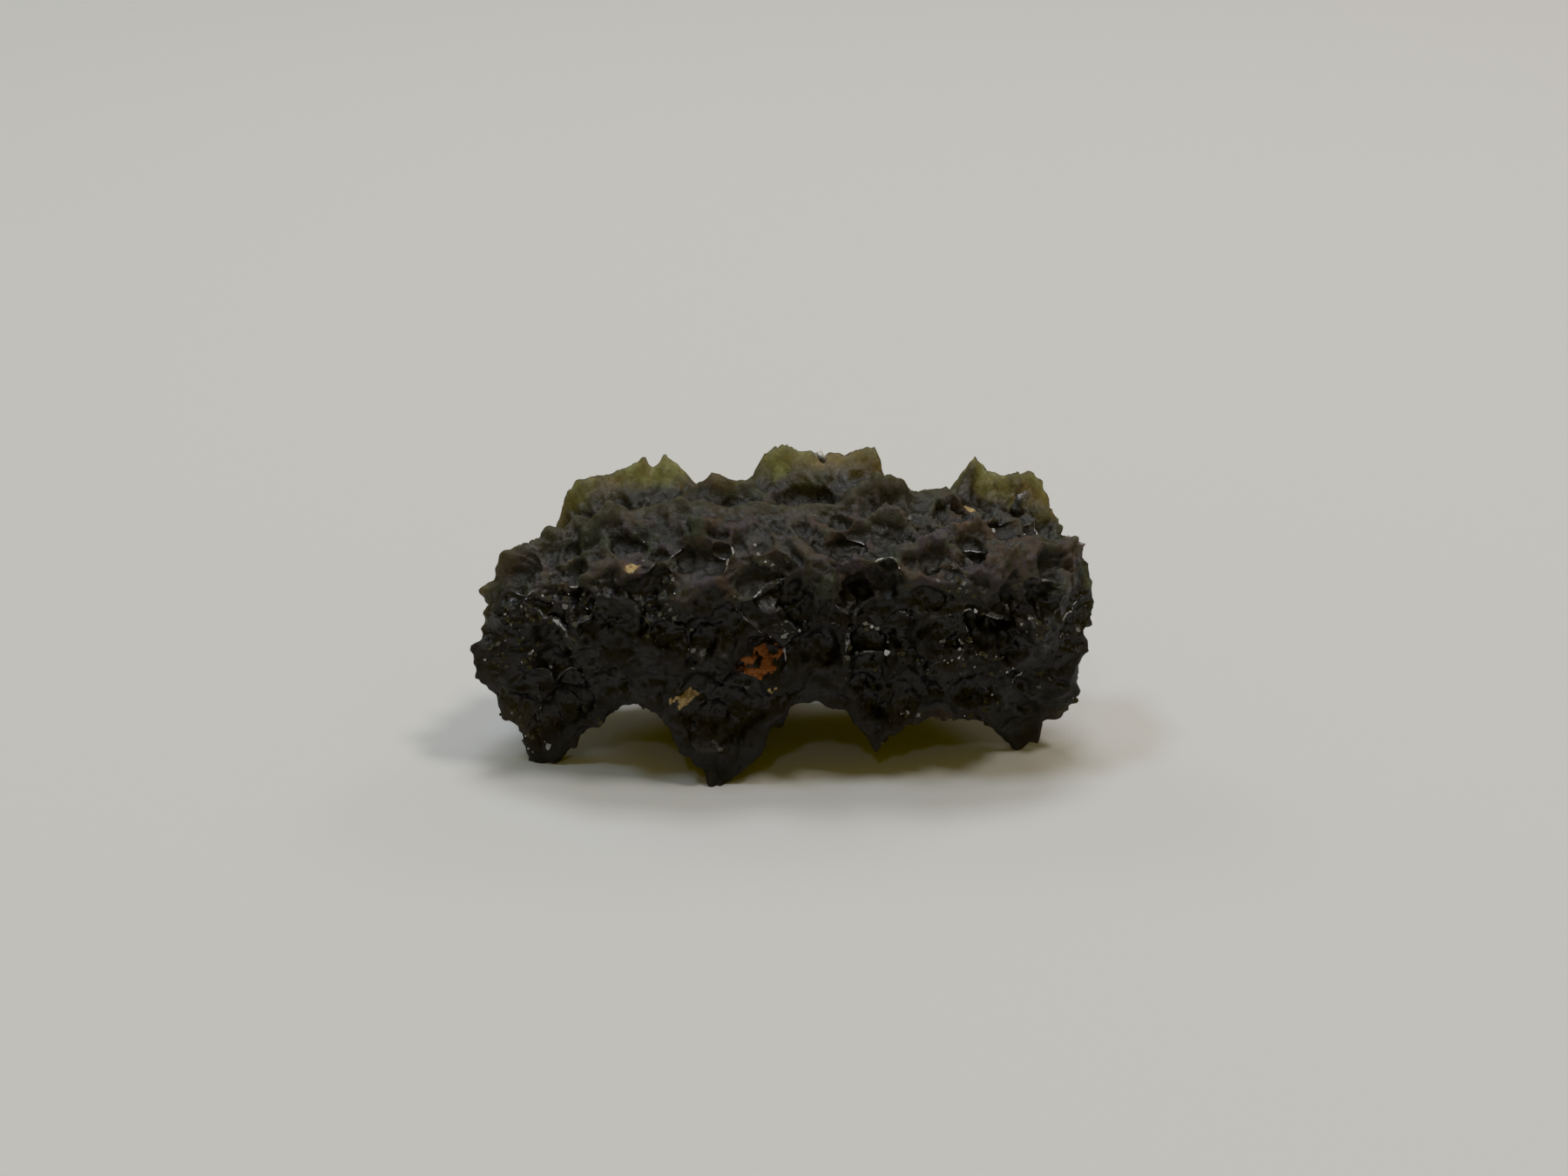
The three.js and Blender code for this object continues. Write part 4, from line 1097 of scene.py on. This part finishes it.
def add_surroundings():
    """The floor, the lights and the dim room."""
    half = FLOOR_HALF * MM
    mesh = bpy.data.meshes.new("floor")
    corners = [(-half, -half, 0), (half, -half, 0), (half, half, 0), (-half, half, 0)]
    mesh.from_pydata(corners, [], [(0, 1, 2, 3)])
    mesh.materials.append(floor_material())
    add_object("floor", mesh)
    for light in LIGHTS:
        add_light(*light)
    world = bpy.data.worlds.new("room")
    bpy.context.scene.world = world
    world.use_nodes = True
    tree = world.node_tree
    seen_directly = add_node(tree, "ShaderNodeLightPath").outputs["Is Camera Ray"]
    colour = mix_colours(tree, seen_directly, WARM_ROOM, PALE_ROOM)
    fill(tree, tree.nodes["Background"], Color=colour, Strength=1.0)


def set_picture():
    """Colour handling and light bounces."""
    scene = bpy.context.scene
    scene.view_settings.view_transform = "Standard"
    scene.view_settings.look = "None"
    cycles = scene.cycles
    cycles.max_bounces = 12
    cycles.transmission_bounces = 10
    cycles.diffuse_bounces = 3
    cycles.glossy_bounces = 4
    cycles.sample_clamp_indirect = 3.0


add_camera()
add_surroundings()
set_picture()

grain = grain_group()
glass = glass_material(grain, etch_group(), facet_group())
orange_clay = clay_material("orange_clay", grain, (0.12, 0.03, 0.006, 1.0), (0.42, 0.15, 0.03, 1.0), 4200.0)
tan_clay = clay_material("tan_clay", grain, (0.20, 0.13, 0.05, 1.0), (0.62, 0.46, 0.22, 1.0), 4800.0)

along, angle = even_grid()
surface, rugged, thinness = stone_surface(along, angle)
ridge = ridge_height(surface)
surface = fitted(surface)
stone = add_piece(
    "etched_stone", pole_merged(surface), grid_triangles(surface), glass,
    {"rugged": pole_merged(rugged), "ridge": pole_merged(ridge), "thin": pole_merged(thinness)},
)
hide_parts("moldavite")
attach(stone, "root")

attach(fresh_chips("fresh_chips", chip_material()), "root")

# Clay: name, place as along and round, width, height, thickness, arc of its middle line, seed and material
POINT = (0.0, 0.0, 0.0)
CLAY = [
    ("orange_clay_in_the_front_pit", (-1.6, 336), 2.3, 2.1, 0.14, (0.42, -100, 150), 61, orange_clay),
    ("tan_clay_above_the_arch", (-5.6, 321.5), 2.3, 1.4, 0.16, POINT, 62, tan_clay),
    ("tan_clay_on_the_leg", (-0.7, 326), 0.9, 0.7, 0.08, POINT, 63, tan_clay),
    ("tan_clay_on_the_slope", (-8.5, 37), 0.9, 0.7, 0.08, POINT, 64, tan_clay),
    ("tan_clay_in_the_notch", (10.7, 108), 0.8, 0.7, 0.08, POINT, 65, tan_clay),
]
for crust in CLAY:
    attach(clay_crust(*crust), "root")
